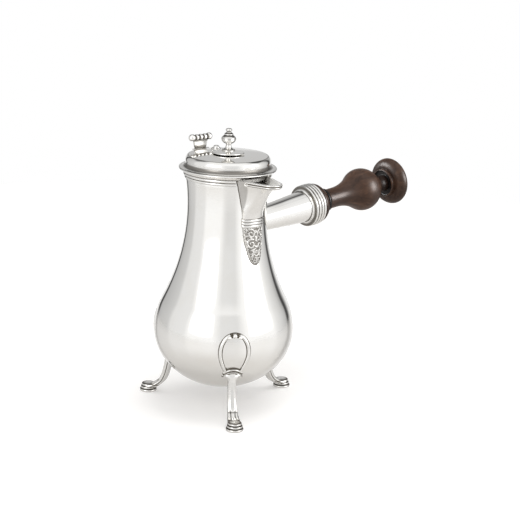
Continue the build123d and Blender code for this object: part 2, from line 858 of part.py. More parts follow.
with BuildPart() as turned_handle:
    ovolo_start = collar_end + wood_flange_edge
    ovolo_end = ovolo_start + wood_ovolo
    bead_start = ovolo_end + quirk
    bead_end = bead_start + wood_bead
    ring_end = bead_end + wood_ring
    cup_floor = knob_neck_place + knob_neck_length
    lip_front = cup_floor - cup_depth
    lip_reach_out = cup_radius + cup_lip
    with BuildSketch(handle_plane):
        with BuildLine():
            Polyline(
                (tenon_start, 0),
                (tenon_start, tenon_radius(tenon_start)),
                (collar_end, tenon_radius(collar_end)),
                (collar_end, wood_flange),
                (ovolo_start, wood_flange),
            )
            bow((ovolo_start, wood_flange), (ovolo_end, quirk_radius), -wood_ovolo_bulge)
            Line((ovolo_end, quirk_radius), (bead_start, quirk_radius))
            bow((bead_start, quirk_radius), (bead_end, quirk_radius), -wood_bead_proud)
            Polyline(
                (bead_end, quirk_radius),
                (bead_end, ring_radius),
                (ring_end, ring_radius),
                (ring_end, grip_neck),
                (grip_neck_place, grip_neck),
            )
            CenterArc((grip_neck_place, grip_neck + front_arc), front_arc, -90, front_turn)
            front_centre = (grip_place, grip_radius - grip_front_arc)
            CenterArc(front_centre, grip_front_arc, 90 + front_turn, -front_turn)
            CenterArc((grip_place, grip_radius - grip_back_arc), grip_back_arc, 90, -back_turn)
            CenterArc((knob_neck_place, knob_neck + back_arc), back_arc, -90 - back_turn, back_turn)
            Polyline((knob_neck_place, knob_neck), (cup_floor, knob_neck), (cup_floor, cup_radius))
            bow((cup_floor, cup_radius), (lip_front, cup_radius + cup_lip / 2), cup_lip_round)
            bow((lip_front, cup_radius + cup_lip / 2), (lip_front + cup_lip, lip_reach_out), -cup_lip_round)
            Line((lip_front + cup_lip, lip_reach_out), (cup_floor + cup_quirk, lip_reach_out))
            bow((cup_floor + cup_quirk, lip_reach_out), (knob_place, knob_radius), -knob_back)
            bow((knob_place, knob_radius), (knob_edge_place, knob_edge), -knob_back / 3)
            bow(
                (knob_edge_place, knob_edge),
                (wood_end, 0),
                -cap_bulge(knob_edge, wood_end - knob_edge_place),
            )
            Line((wood_end, 0), (tenon_start, 0))
        make_face()
    revolve(axis=handle_line)
    add(handle_pin_hole(solder_seam), mode=Mode.SUBTRACT)
save(turned_handle.part, "turned_handle")

with BuildPart() as handle_pin:
    pin_head = socket_radius(handle_pin_place) + solder_seam
    pin_inner = pin_head - socket_wall - handle_pin_depth
    with BuildSketch(pin_plane.offset(pin_inner)):
        Circle(handle_pin_radius)
    extrude(amount=pin_head - pin_inner + handle_pin_head)
    fillet(handle_pin.edges().sort_by(Axis.Z)[0], handle_pin_head * 0.6)
save(handle_pin.part, "handle_pin")

# ================================================================ legs
leg_names = ("under_handle", "back", "front")


def leg_section(place, width, depth, reeding):
    """Section of the leg: a flat back, and a face that goes from a plain pilaster to three reeds."""
    plain = 1 - reeding
    side = depth * (0.083 + 0.2 * plain)
    crest = depth * (0.333 + 0.09 * plain)
    flank = width * (0.09 * reeding + 0.02 * plain)
    face = depth * (0.167 * reeding + 0.04 * plain)
    with BuildSketch(place) as section:
        with BuildLine():
            Polyline((-width / 2, side), (-width / 2, -depth / 2), (width / 2, -depth / 2), (width / 2, side))
            bow((width / 2, side), (width / 5, crest), flank)
            bow((width / 5, crest), (-width / 5, crest), face)
            bow((-width / 5, crest), (-width / 2, side), flank)
        make_face()
    return section.sketch


with BuildPart() as leg_form:
    with BuildLine(Plane.XZ) as leg_curve:
        Spline(
            (leg_reach, leg_top),
            (leg_reach + knee_out, knee_height),
            (ankle_reach, ankle_height),
            (foot_reach, toe_height),
            tangents=((0, -1), (1, 0)),
        )
    for index in range(leg_stations):
        along = index / (leg_stations - 1)
        width = leg_width + (ankle_width - leg_width) * along**4
        reeding = min(1, max(0, (along - reeds_start) / reeds_growth))
        place = Plane(leg_curve.line @ along, x_dir=(0, 1, 0), z_dir=leg_curve.line % along)
        add(leg_section(place, width, leg_depth * (1 - leg_taper * along), reeding))
    loft()
    foot_top = foot_steps * foot_step
    with BuildSketch(Plane.XZ):
        with BuildLine():
            for index in range(foot_steps):
                edge = foot_reach + foot_radius - (index + 1) * foot_step_in
                base = index * foot_step
                bow((edge, base), (edge, base + foot_step), foot_step_in)
                if index < foot_steps - 1:
                    Line((edge, base + foot_step), (edge - foot_step_in, base + foot_step))
            Polyline(
                (edge, foot_top),
                (foot_reach, foot_top + foot_crown),
                (foot_reach, 0),
                (foot_reach + foot_radius - foot_step_in, 0),
            )
        make_face()
    revolve(axis=Axis((foot_reach, 0, 0), (0, 0, 1)))
    split(bisect_by=Plane.XY, keep=Keep.TOP)
    add(trim_form, mode=Mode.SUBTRACT)

for index, name in enumerate(leg_names):
    with BuildPart() as leg:
        with PolarLocations(0, 1, start_angle=index * 360 / leg_count):
            add(leg_form.part)
    save(leg.part, f"leg_{name}")

# half width of the loop at shares of its height
loop_sides = ((0.00, 6.6), (0.24, 10.0), (0.50, 11.9), (0.78, 10.2), (0.96, 5.4))


def on_vessel(across, level):
    """A point just off the vessel's wall, at a distance along the wall from the leg's middle."""
    reach = vessel_radius(level) + cartouche_proud
    angle = across / vessel_radius(level)
    return (reach * cos(angle), reach * sin(angle), level)


with BuildPart() as cartouche_form:
    loop_height = cartouche_top - cartouche_foot
    side = [(across, cartouche_foot + up * loop_height) for up, across in loop_sides]
    other_side = [(-across, level) for across, level in reversed(side)]
    with BuildLine() as loop_line:
        Spline(*[on_vessel(*spot) for spot in side + [(0, cartouche_top)] + other_side])
    with BuildSketch(Plane(loop_line.line @ 0, z_dir=loop_line.line % 0)):
        Circle(cartouche_reed)
    sweep(path=loop_line.line)
    half_turn = degrees(collar_arc / vessel_radius(cartouche_foot))
    start_plane = Plane(
        (0, 0, 0),
        x_dir=(cos(radians(half_turn)), -sin(radians(half_turn)), 0),
        z_dir=(-sin(radians(half_turn)), -cos(radians(half_turn)), 0),
    )
    with BuildSketch(start_plane):
        for index in range(collar_bands):
            level = leg_top + solder_seam + cartouche_reed * (1 + 1.4 * index)
            with Locations((vessel_radius(level) + cartouche_proud, level)):
                Circle(cartouche_reed)
    revolve(axis=Axis.Z, revolution_arc=2 * half_turn)
    for across, size in ((0, crest_lobe), (-crest_spread, crest_scroll), (crest_spread, crest_scroll)):
        with Locations(Location(on_vessel(across, cartouche_top), (0, 90, 0))):
            Sphere(size)
    add(trim_form, mode=Mode.SUBTRACT)

for index, name in enumerate(leg_names):
    with BuildPart() as cartouche:
        with PolarLocations(0, 1, start_angle=index * 360 / leg_count):
            add(cartouche_form.part)
    save(cartouche.part, f"leg_cartouche_{name}")
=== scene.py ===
import bpy
import bmesh
import numpy as np
from math import acos, asin, atan2, ceil, cos, degrees, exp, hypot, pi, radians, sin, sqrt
from mathutils import Matrix, Vector


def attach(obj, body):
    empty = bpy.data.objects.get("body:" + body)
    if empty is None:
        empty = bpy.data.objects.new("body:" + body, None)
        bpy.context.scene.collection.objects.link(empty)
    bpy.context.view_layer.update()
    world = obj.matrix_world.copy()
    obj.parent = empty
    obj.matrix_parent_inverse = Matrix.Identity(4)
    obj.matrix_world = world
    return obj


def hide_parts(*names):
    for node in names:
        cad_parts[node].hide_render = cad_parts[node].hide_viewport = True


# a silver chocolate pot: sizes are in millimetres here and become metres in the meshes
mm = 0.001
handleTilt = 5.79  # the handle's rise in degrees
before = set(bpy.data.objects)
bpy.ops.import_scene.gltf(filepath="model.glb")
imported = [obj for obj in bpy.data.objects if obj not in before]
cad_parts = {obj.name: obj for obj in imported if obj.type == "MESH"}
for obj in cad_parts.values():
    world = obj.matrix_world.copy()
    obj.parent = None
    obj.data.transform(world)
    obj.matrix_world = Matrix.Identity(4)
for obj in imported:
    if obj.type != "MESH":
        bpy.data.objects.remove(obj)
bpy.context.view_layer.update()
print("frame loaded:", len(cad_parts), "nodes")

scene = bpy.context.scene
scene.view_settings.view_transform = "Standard"


# a socket that can be used in sums
class Wire:
    def __init__(self, shader, socket):
        self.shader = shader
        self.socket = socket

    def maths(self, operation, *others):
        return self.shader.node("ShaderNodeMath", {"operation": operation}, [self, *others])

    def __add__(self, other):
        return self.maths("ADD", other)

    def __sub__(self, other):
        return self.maths("SUBTRACT", other)

    def __rsub__(self, other):
        return self.shader.node("ShaderNodeMath", {"operation": "SUBTRACT"}, [other, self])

    def __mul__(self, other):
        return self.maths("MULTIPLY", other)

    __radd__ = __add__
    __rmul__ = __mul__

    def clamp(self):
        return self.shader.node("ShaderNodeClamp", {}, {"Value": self})


# the nodes of one material or of the world
class Shader:
    def __init__(self, owner):
        owner.use_nodes = True
        self.tree = owner.node_tree
        self.tree.nodes.clear()

    def node(self, kind, settings=None, inputs=None, out=0):
        made = self.tree.nodes.new(kind)
        for name, value in (settings or {}).items():
            if name == "stops":
                self.setStops(made.color_ramp, value)
            else:
                setattr(made, name, value)
        pairs = enumerate(inputs) if isinstance(inputs, (list, tuple)) else (inputs or {}).items()
        for name, value in pairs:
            if isinstance(value, Wire):
                self.tree.links.new(value.socket, made.inputs[name])
            else:
                made.inputs[name].default_value = value
        return Wire(self, made.outputs[out]) if len(made.outputs) else None

    def setStops(self, ramp, stops):
        while len(ramp.elements) > 1:
            ramp.elements.remove(ramp.elements[-1])
        for index, (place, colour) in enumerate(stops):
            element = ramp.elements[0] if index == 0 else ramp.elements.new(place)
            element.position = place
            element.color = colour

    def ramp(self, fac, stops):
        return self.node("ShaderNodeValToRGB", {"stops": stops}, {"Fac": fac})

    def noise(self, vector, scale, detail=2.0, roughness=0.5, distortion=0.0):
        inputs = {"Vector": vector, "Scale": scale, "Detail": detail, "Roughness": roughness,
                  "Distortion": distortion}
        return self.node("ShaderNodeTexNoise", {}, inputs)

    def mix(self, fac, a, b):
        return self.node("ShaderNodeMix", {"data_type": "RGBA"}, {0: fac, 6: a, 7: b}, out=2)

    # a smooth rise between two places, from 0 to 1 or between two other values
    def remap(self, value, low, high, toLow=0.0, toHigh=1.0):
        inputs = {"Value": value, "From Min": low, "From Max": high, "To Min": toLow, "To Max": toHigh}
        return self.node("ShaderNodeMapRange", {"interpolation_type": "SMOOTHSTEP"}, inputs)


def grey(value):
    return (value, value, value, 1.0)


# finishes
silverLook = {
    "light": (0.965, 0.955, 0.93, 1),
    "warm": (0.93, 0.905, 0.855, 1),
    # dark colour for the painted shade and for the real grime
    "shadeAndTarnish": (0.10, 0.085, 0.065, 1),
    "roughness": 0.055,
    "cloudScale": 60.0,
    "scratchScale": 900.0,
    "hairScale": (300.0, 300.0, 2400.0),
    "hairDepth": 0.00005,
    "waveScale": 28.0,
    "waveDepth": 0.0006,
}


def silverFinish(name, dark=1.0, rough=0.0, wave=1.0, grime=0.0):
    look = silverLook
    material = bpy.data.materials.new(name)
    shader = Shader(material)
    place = shader.node("ShaderNodeTexCoord", out=3)
    recess = shader.node("ShaderNodeAttribute", {"attribute_name": "recess"}, out=2)
    dull = shader.node("ShaderNodeAttribute", {"attribute_name": "dull"}, out=2)
    cloud = shader.noise(place, look["cloudScale"], 3.0, 0.6)
    fine = shader.noise(place, look["scratchScale"], 2.0, 0.7)
    stretched = shader.node("ShaderNodeMapping", {}, {"Vector": place, "Scale": look["hairScale"]})
    hair = shader.noise(stretched, 1.0, 2.0, 0.6)
    film = shader.remap(cloud, 0.42, 0.72)  # a faint yellow film lies in patches
    body = shader.mix(film * 0.35, look["light"], look["warm"])
    # darker where the recess attribute paints shade into hollows, corners, lines and bands, plus real grime
    # in fine patches
    shadeAndGrime = (recess * dark + grime * shader.remap(fine, 0.35, 0.7)).clamp()
    colour = shader.mix(shadeAndGrime, body, look["shadeAndTarnish"])
    roughness = look["roughness"] + rough + film * 0.02 + fine * 0.02 + shadeAndGrime * 0.3 + dull * 0.35
    broad = shader.node("ShaderNodeBump", {}, {
        "Strength": wave, "Distance": look["waveDepth"],
        "Height": shader.noise(place, look["waveScale"], 1.0, 0.4),
    })
    bump = shader.node("ShaderNodeBump", {}, {
        "Strength": 0.04, "Distance": look["hairDepth"], "Height": hair + fine, "Normal": broad,
    })
    surface = shader.node("ShaderNodeBsdfPrincipled", {}, {
        "Base Color": colour, "Metallic": 1.0 - dull * 0.75, "Roughness": roughness, "Normal": bump,
    })
    shader.node("ShaderNodeOutputMaterial", {}, {"Surface": surface})
    return material


woodLook = {
    "dark": (0.020, 0.010, 0.007, 1),
    "mid": (0.066, 0.033, 0.020, 1),
    "light": (0.140, 0.074, 0.045, 1),
    # near-black colour that paints shade into the wood's hollows and grooves
    "groove": (0.004, 0.003, 0.003, 1),
    "grainScale": (14.0, 170.0, 170.0),
    "poreScale": (90.0, 1500.0, 1500.0),
    "blotchScale": 38.0,
    "depth": 0.00012,
    "coat": 0.1,
    "coatRoughness": 0.25,
    "specular": 0.18,
}


def woodFinish():
    look = woodLook
    material = bpy.data.materials.new("turnedWood")
    shader = Shader(material)
    place = shader.node("ShaderNodeTexCoord", out=3)
    recess = shader.node("ShaderNodeAttribute", {"attribute_name": "recess"}, out=2)
    tilt = {"Vector": place, "Rotation": (0, radians(handleTilt), 0)}
    along = shader.node("ShaderNodeMapping", {}, tilt)
    grain = shader.node("ShaderNodeMapping", {}, {"Vector": along, "Scale": look["grainScale"]})
    specks = shader.node("ShaderNodeMapping", {}, {"Vector": along, "Scale": look["poreScale"]})
    figure = shader.noise(grain, 1.0, 5.0, 0.6, 0.9)
    pore = shader.remap(shader.noise(specks, 1.0, 3.0, 0.7), 0.60, 0.72)
    blotch = shader.noise(place, look["blotchScale"], 3.0, 0.6)
    tones = [(0.30, look["dark"]), (0.52, look["mid"]), (0.74, look["light"])]
    tone = shader.ramp(figure * 0.65 + blotch * 0.35, tones)
    pored = shader.mix(pore * 0.6, tone, look["dark"])
    bump = shader.node("ShaderNodeBump", {}, {
        "Strength": 0.25, "Distance": look["depth"], "Height": figure * 0.5 - pore,
    })
    surface = shader.node("ShaderNodeBsdfPrincipled", {}, {
        # the recess attribute paints shade into the hollows with the groove colour
        "Base Color": shader.mix((recess * 1.2).clamp(), pored, look["groove"]),
        "Roughness": 0.36 + pore * 0.2 + blotch * 0.12,
        "Normal": bump,
        "Coat Weight": look["coat"],
        "Coat Roughness": look["coatRoughness"],
        "Specular IOR Level": look["specular"],
    })
    shader.node("ShaderNodeOutputMaterial", {}, {"Surface": surface})
    return material


polished = silverFinish("polishedSilver")
moulded = silverFinish("mouldedSilver", rough=0.05, wave=0.3)
castSilver = silverFinish("castSilver", rough=0.09, wave=0.5, grime=0.06)
chased = silverFinish("chasedSilver", dark=1.15, rough=0.13, wave=0.0, grime=0.12)
turnedWood = woodFinish()
print("finishes made")


# outlines
# points after start, on an arc that bulges to the right of the way
def bow(start, end, bulge, steps):
    if abs(bulge) < 1e-6:
        return [
            (start[0] + (end[0] - start[0]) * i / steps, start[1] + (end[1] - start[1]) * i / steps)
            for i in range(1, steps + 1)
        ]
    run = hypot(end[0] - start[0], end[1] - start[1])
    across = ((end[1] - start[1]) / run, (start[0] - end[0]) / run)
    radius = (run * run / 4 + bulge * bulge) / (2 * abs(bulge))
    side = 1 if bulge > 0 else -1
    mid = ((start[0] + end[0]) / 2, (start[1] + end[1]) / 2)
    shift = (abs(bulge) - radius) * side
    centre = (mid[0] + across[0] * shift, mid[1] + across[1] * shift)
    a0 = atan2(start[1] - centre[1], start[0] - centre[0])
    a1 = atan2(end[1] - centre[1], end[0] - centre[0])
    turn = (a1 - a0 + pi) % (2 * pi) - pi
    if abs(bulge) > radius:
        turn = turn - 2 * pi * (1 if turn > 0 else -1)
    angles = [a0 + turn * i / steps for i in range(1, steps + 1)]
    return [(centre[0] + radius * cos(a), centre[1] + radius * sin(a)) for a in angles]


# an outline: each move is a point, or a point and the bulge of the arc that leads to it
def trace(start, *moves, step=0.3):
    points = [start]
    for move in moves:
        end, bulge = move if isinstance(move[0], (tuple, list)) else (move, 0.0)
        here = points[-1]
        length = hypot(end[0] - here[0], end[1] - here[1]) * (1 + abs(bulge) * 0.02)
        spacing = step if abs(bulge) > 1e-6 else step * 3
        points += bow(here, end, bulge, max(1, int(ceil(length / spacing))))
    return points


# rounds each sharp corner of an outline
def soften(points, cut=0.14, closed=False, least=18):
    result = []
    count = len(points)
    for i, here in enumerate(points):
        if not closed and i in (0, count - 1):
            result.append(here)
            continue
        before, after = points[i - 1], points[(i + 1) % count]
        v0 = (here[0] - before[0], here[1] - before[1])
        v1 = (after[0] - here[0], after[1] - here[1])
        l0, l1 = hypot(*v0), hypot(*v1)
        if l0 < 1e-6 or l1 < 1e-6:
            continue
        turn = abs(degrees(atan2(v0[0] * v1[1] - v0[1] * v1[0], v0[0] * v1[0] + v0[1] * v1[1])))
        if turn < least:
            result.append(here)
            continue
        size = min(cut, l0 * 0.45, l1 * 0.45)
        a = [here[j] - v0[j] / l0 * size for j in (0, 1)]
        b = [here[j] + v1[j] / l1 * size for j in (0, 1)]
        for t in (0.0, 0.25, 0.5, 0.75, 1.0):
            result.append(tuple(
                (1 - t) ** 2 * a[j] + 2 * t * (1 - t) * here[j] + t * t * b[j] for j in (0, 1)
            ))
    return result


# radius of the hollow arc that runs on from a round one
def meetingArc(reach, drop, arc):
    return (reach**2 + drop**2 - arc**2) / (2 * (arc - drop))


# meshes
def smoothed(mesh, sharp):
    mesh.shade_smooth()
    mesh.set_sharp_from_angle(angle=radians(sharp))


def newPiece(name, points, faces, sharp=40):
    mesh = bpy.data.meshes.new(name)
    mesh.from_pydata([tuple(c * mm for c in p) for p in points], [], faces)
    mesh.update()
    piece = bpy.data.objects.new(name, mesh)
    scene.collection.objects.link(piece)
    smoothed(mesh, sharp)
    return piece


# gives the piece its mesh as the modifiers leave it, and takes them off
def bake(piece):
    depsgraph = bpy.context.evaluated_depsgraph_get()
    mesh = bpy.data.meshes.new_from_object(piece.evaluated_get(depsgraph))
    piece.modifiers.clear()
    piece.data = mesh
    return mesh


def readVectors(piece, name):
    values = np.zeros(len(piece.data.vertices) * 3)
    piece.data.vertices.foreach_get(name, values)
    return values.reshape(-1, 3)


def readPoints(piece):
    return readVectors(piece, "co") / mm


def reachOf(co):
    return np.hypot(co[:, 0], co[:, 1])


# how hollow the surface is at each vertex, from 0 to 1, kept in the attribute recess, which the finishes
# paint as shade
def markRecess(piece, gain=1.0, blur=1):
    mesh = piece.data
    count = len(mesh.vertices)
    co, normal = readPoints(piece), readVectors(piece, "normal")
    pairs = np.zeros(len(mesh.edges) * 2, int)
    mesh.edges.foreach_get("vertices", pairs)
    pairs = pairs.reshape(-1, 2)
    way = co[pairs[:, 1]] - co[pairs[:, 0]]
    length = np.maximum(np.linalg.norm(way, axis=1), 1e-6)
    total, weight = np.zeros(count), np.zeros(count)
    for end, sign in ((0, 1.0), (1, -1.0)):
        bend = sign * np.einsum("ij,ij->i", way, normal[pairs[:, end]]) / length
        np.add.at(total, pairs[:, end], bend)
        np.add.at(weight, pairs[:, end], 1.0)
    hollow = np.maximum(total / np.maximum(weight, 1) * gain, 0)
    for _ in range(blur):
        spread, near = hollow * 2, np.full(count, 2.0)
        for a, b in ((0, 1), (1, 0)):
            np.add.at(spread, pairs[:, a], hollow[pairs[:, b]])
            np.add.at(near, pairs[:, a], 1.0)
        hollow = spread / near
    field = mesh.attributes.get("recess") or mesh.attributes.new("recess", "FLOAT", "POINT")
    field.data.foreach_set("value", np.clip(hollow, 0, 1).astype(np.float32))
    return piece


# adds an amount per vertex to one of the piece's attributes, kept from 0 to 1
def addTo(piece, name, amount):
    field = piece.data.attributes.get(name) or piece.data.attributes.new(name, "FLOAT", "POINT")
    value = np.zeros(len(piece.data.vertices), np.float32)
    field.data.foreach_get("value", value)
    field.data.foreach_set("value", np.clip(value + amount, 0, 1).astype(np.float32))
    return piece


# painted shade in lines, such as grooves and creases: each has its place among the values, its half width and
# its depth
def darken(piece, values, lines, peak=1.2, where=1.0):
    for line, width, depth in lines:
        addTo(piece, "recess", np.clip(peak - np.abs(values - line) / width, 0, 1) * depth * where)


# painted shade in the corner where a soldered piece meets the vessel
def shadeAtWall(piece, reach=0.6, strength=1.0):
    return addTo(piece, "recess", np.clip(1 - standOff(readPoints(piece)) / reach, 0, 1) * strength)


# faces between closed rings of the same number of points, with both ends closed
def skin(rings):
    count = len(rings[0])
    points = [p for ring in rings for p in ring]
    faces = []
    for i in range(len(rings) - 1):
        for j in range(count):
            k = (j + 1) % count
            faces.append((i * count + j, i * count + k, (i + 1) * count + k, (i + 1) * count + j))
    last = (len(rings) - 1) * count
    return points, faces + [tuple(reversed(range(count))), tuple(range(last, last + count))]


handleRise = radians(handleTilt)
handleHeight = 153.74
handleLine = Matrix((
    (cos(handleRise), 0, -sin(handleRise), 0),
    (0, 1, 0, 0),
    (sin(handleRise), 0, cos(handleRise), handleHeight),
    (0, 0, 0, 1),
))


def alongHandle(co):
    return co[:, 0] * cos(handleRise) + (co[:, 2] - handleHeight) * sin(handleRise)


# a point of a turned piece, round an upright axis or round the handle's line
def at(along, x, y, place, centre):
    if along is None:
        return (x + centre[0], y + centre[1], place)
    return tuple(along @ Vector((place, x, y)))


# a turned piece: outline is (radius, place) pairs
def turned(name, outline, turns, along=None, closed=False, start=0.0, sweep=360.0, sharp=40, centre=(0, 0)):
    whole = sweep >= 359.9
    columns = turns if whole else turns + 1
    angles = [radians(start + sweep * j / turns) for j in range(columns)]
    points, faces, rings = [], [], []
    for radius, place in outline:
        if radius < 1e-5:
            rings.append([len(points)])
            points.append(at(along, 0, 0, place, centre))
            continue
        rings.append(list(range(len(points), len(points) + columns)))
        points += [at(along, radius * cos(a), radius * sin(a), place, centre) for a in angles]
    pairs = list(zip(rings, rings[1:] + ([rings[0]] if closed else [])))
    for low, high in pairs:
        for j in range(columns if whole else columns - 1):
            k = (j + 1) % columns
            if len(low) == 1 and len(high) == 1:
                continue
            if len(low) == 1:
                faces.append((low[0], high[k], high[j]))
            elif len(high) == 1:
                faces.append((low[j], low[k], high[0]))
            else:
                faces.append((low[j], low[k], high[k], high[j]))
    if not whole and closed:
        faces.append(tuple(reversed([ring[0] for ring in rings])))
        faces.append(tuple(ring[-1] for ring in rings))
    return solid(newPiece(name, points, faces, sharp))


# turns every face outwards
def solid(piece):
    shape = bmesh.new()
    shape.from_mesh(piece.data)
    bmesh.ops.remove_doubles(shape, verts=shape.verts, dist=1e-8)
    bmesh.ops.recalc_face_normals(shape, faces=shape.faces)
    if shape.calc_volume(signed=True) < 0:
        bmesh.ops.reverse_faces(shape, faces=shape.faces)
    shape.to_mesh(piece.data)
    shape.free()
    piece.data.update()
    return piece


# takes the cutter out of the piece
def cutAway(piece, cutter, sharp=50):
    tool = piece.modifiers.new("cut", "BOOLEAN")
    tool.operation = "DIFFERENCE"
    tool.solver = "EXACT"
    tool.object = cutter
    mesh = bake(piece)
    bpy.data.objects.remove(cutter)
    smoothed(mesh, sharp)


def block(name, low, high):
    corners = [(x, y, z) for x in (low[0], high[0]) for y in (low[1], high[1]) for z in (low[2], high[2])]
    faces = [(0, 1, 3, 2), (4, 6, 7, 5), (0, 4, 5, 1), (2, 3, 7, 6), (0, 2, 6, 4), (1, 5, 7, 3)]
    return solid(newPiece(name, corners, faces))


# gives a finished piece its material and its body, and hides the CAD nodes that it stands for
def place(piece, finish, body, slotName, *nodes):
    piece.data.materials.clear()
    piece.data.materials.append(finish)
    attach(piece, body)
    if nodes:
        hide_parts(*nodes)
    return piece


# a smooth copy of a CAD node, with its edges eased
def refined(node, name, body, ease=0.12, sharp=35):
    piece = bpy.data.objects.new(name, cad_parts[node].data.copy())
    scene.collection.objects.link(piece)
    shape = bmesh.new()
    shape.from_mesh(piece.data)
    bmesh.ops.remove_doubles(shape, verts=shape.verts, dist=2e-7)
    bmesh.ops.dissolve_limit(shape, angle_limit=radians(1.0), verts=shape.verts, edges=shape.edges)
    shape.to_mesh(piece.data)
    shape.free()
    tool = piece.modifiers.new("ease", "BEVEL")
    tool.width = ease * mm
    tool.segments = 2
    tool.limit_method = "ANGLE"
    tool.angle_limit = radians(sharp)
    smoothed(bake(piece), sharp)
    markRecess(piece, gain=0.4)
    return place(piece, castSilver, body, "polished_silver", node)


# vessel
vesselSizes = {
    "wall": 1.2,
    "bellyRadius": 59.2,
    "bellyHeight": 67.0,
    "bellyDrop": 49.5,
    "shoulderArc": 62.0,
    "throatRadius": 33.4,
    "throatHeight": 174.0,
    "rimRadius": 35.0,
    "rimBase": 198.3,
    "rimHeight": 203.5,
}
v = vesselSizes
shoulderCentre = v["bellyRadius"] - v["shoulderArc"]
throatRise = v["throatHeight"] - v["bellyHeight"]
throatArc = meetingArc(throatRise, v["throatRadius"] - shoulderCentre, v["shoulderArc"])
throatCentre = v["throatRadius"] + throatArc
turnAngle = atan2(throatRise, throatCentre - shoulderCentre)
turnHeight = v["bellyHeight"] + v["shoulderArc"] * sin(turnAngle)


def vesselRadius(z):
    if z < v["bellyHeight"]:
        return v["bellyRadius"] * sqrt(max(0.0, 1 - ((v["bellyHeight"] - z) / v["bellyDrop"]) ** 2))
    if z < turnHeight:
        return shoulderCentre + sqrt(v["shoulderArc"] ** 2 - (z - v["bellyHeight"]) ** 2)
    return throatCentre - sqrt(throatArc**2 - (z - v["throatHeight"]) ** 2)


# how far points stand off the vessel's wall
def standOff(co):
    levels = np.linspace(20, 203, 367)
    return reachOf(co) - np.interp(co[:, 2], levels, [vesselRadius(min(z, v["rimBase"])) for z in levels])


# from the middle of the bottom up to the rim
def vesselOutline(inset):
    points = []
    for i in range(49):
        a = radians(-90 + 90 * i / 48)
        reach, drop = v["bellyRadius"] - inset, v["bellyDrop"] - inset
        points.append((reach * cos(a), v["bellyHeight"] + drop * sin(a)))
    for i in range(1, 41):
        a = turnAngle * i / 40
        arc = v["shoulderArc"] - inset
        points.append((shoulderCentre + arc * cos(a), v["bellyHeight"] + arc * sin(a)))
    neckTurn = atan2(v["rimBase"] - v["throatHeight"], throatArc)
    for i in range(1, 61):
        a = pi + turnAngle - (turnAngle + neckTurn) * i / 60
        arc = throatArc + inset
        points.append((throatCentre + arc * cos(a), v["throatHeight"] + arc * sin(a)))
    points.append((v["rimRadius"] - inset, v["rimBase"] + 0.01))
    points.append((v["rimRadius"] - inset, v["rimHeight"]))
    points[0] = (0.0, points[0][1])
    return points


# spout
spoutSizes = {
    "wall": 1.2,
    "floor": 2.0,
    "lipHeight": 203.2,
    "lipReach": 63.6,
    "lipNose": 8.0,
    "lipSpread": 16.7,
    "footHeight": 170.2,
    "footReach": 38.2,
    "footNose": 15.0,
    "footSpread": 9.7,
    "root": 20.0,
    "embed": 0.6,
    # height up the beak, then spread, reach and nose, as shares of the way to the lip
    "stations": (
        (0.00, 0.00, 0.000, 0.00),
        (0.18, 0.08, 0.085, 0.36),
        (0.43, 0.34, 0.270, 0.80),
        (0.62, 0.55, 0.430, 0.94),
        (0.80, 0.78, 0.630, 1.00),
        (1.00, 1.00, 1.000, 1.00),
    ),
    # how far the painted shade runs out along the flanks, by height
    "shadeLevels": (172.0, 180.0, 196.0),
    "shadeReaches": (0.0, 3.2, 7.0),
    "shade": 0.42,
}
s = spoutSizes


# a smooth curve through the rows of a table, at t in its first column
def smoothTable(rows, t):
    xs = [row[0] for row in rows]
    last = len(rows) - 1
    i = max(0, min(last - 1, sum(1 for x in xs if x <= t) - 1))
    span = xs[i + 1] - xs[i]
    u = (t - xs[i]) / span

    def slope(k, c):
        a, b = max(k - 1, 0), min(k + 1, last)
        return (rows[b][c] - rows[a][c]) / (xs[b] - xs[a])

    result = []
    for c in range(1, len(rows[0])):
        m0, m1 = slope(i, c) * span, slope(i + 1, c) * span
        result.append((2 * u**3 - 3 * u**2 + 1) * rows[i][c] + (u**3 - 2 * u**2 + u) * m0
                      + (-2 * u**3 + 3 * u**2) * rows[i + 1][c] + (u**3 - u**2) * m1)
    return result


# plan of the spout from one flank round the nose to the other, as points that start in the wall
def spoutPath(spread, reach, nose, height, embed, flank=26, turn=40):
    wall = vesselRadius(min(height, v["rimBase"]))
    foot = sqrt(wall**2 - spread**2)
    centre = reach - nose
    span = hypot(spread, centre - foot)
    if span > nose:
        lead = atan2(spread, foot - centre) - acos(nose / span)
        side = (nose * sin(lead), centre + nose * cos(lead))
        base = spread + (foot - s["root"]) * (spread - side[0]) / (side[1] - foot)
    else:
        side = (spread, centre + sqrt(nose**2 - spread**2))
        base = spread
    # where the flank's line meets the wall
    deep = wall - embed
    dx, dy = side[0] - base, side[1] - s["root"]
    a, b, c = dx * dx + dy * dy, 2 * (base * dx + s["root"] * dy), base**2 + s["root"] ** 2 - deep**2
    t = min((-b + sqrt(max(b * b - 4 * a * c, 0))) / (2 * a), 0.999)
    start = (base + dx * t, s["root"] + dy * t)
    right = [(start[0] + (side[0] - start[0]) * i / flank, start[1] + (side[1] - start[1]) * i / flank)
             for i in range(flank)]
    a0 = atan2(side[0], side[1] - centre)
    angles = [a0 * (1 - 2 * i / turn) for i in range(turn + 1)]
    arc = [(nose * sin(a), centre + nose * cos(a)) for a in angles]
    left = [(-x, y) for x, y in reversed(right)]
    return [(x, -y) for x, y in right + arc + left]


def beakRow(height, inset, floor, embed):
    up = (height - s["footHeight"] - floor) / (s["lipHeight"] - s["footHeight"] - floor)
    wide, out, tight = smoothTable(s["stations"], max(0.0, min(1.0, up)))
    spread = s["footSpread"] + wide * (s["lipSpread"] - s["footSpread"]) - inset
    reach = s["footReach"] + out * (s["lipReach"] - s["footReach"]) - inset
    nose = s["footNose"] + tight * (s["lipNose"] - s["footNose"]) - inset
    return [(x, y, height) for x, y in spoutPath(spread, reach, nose, height, embed)]


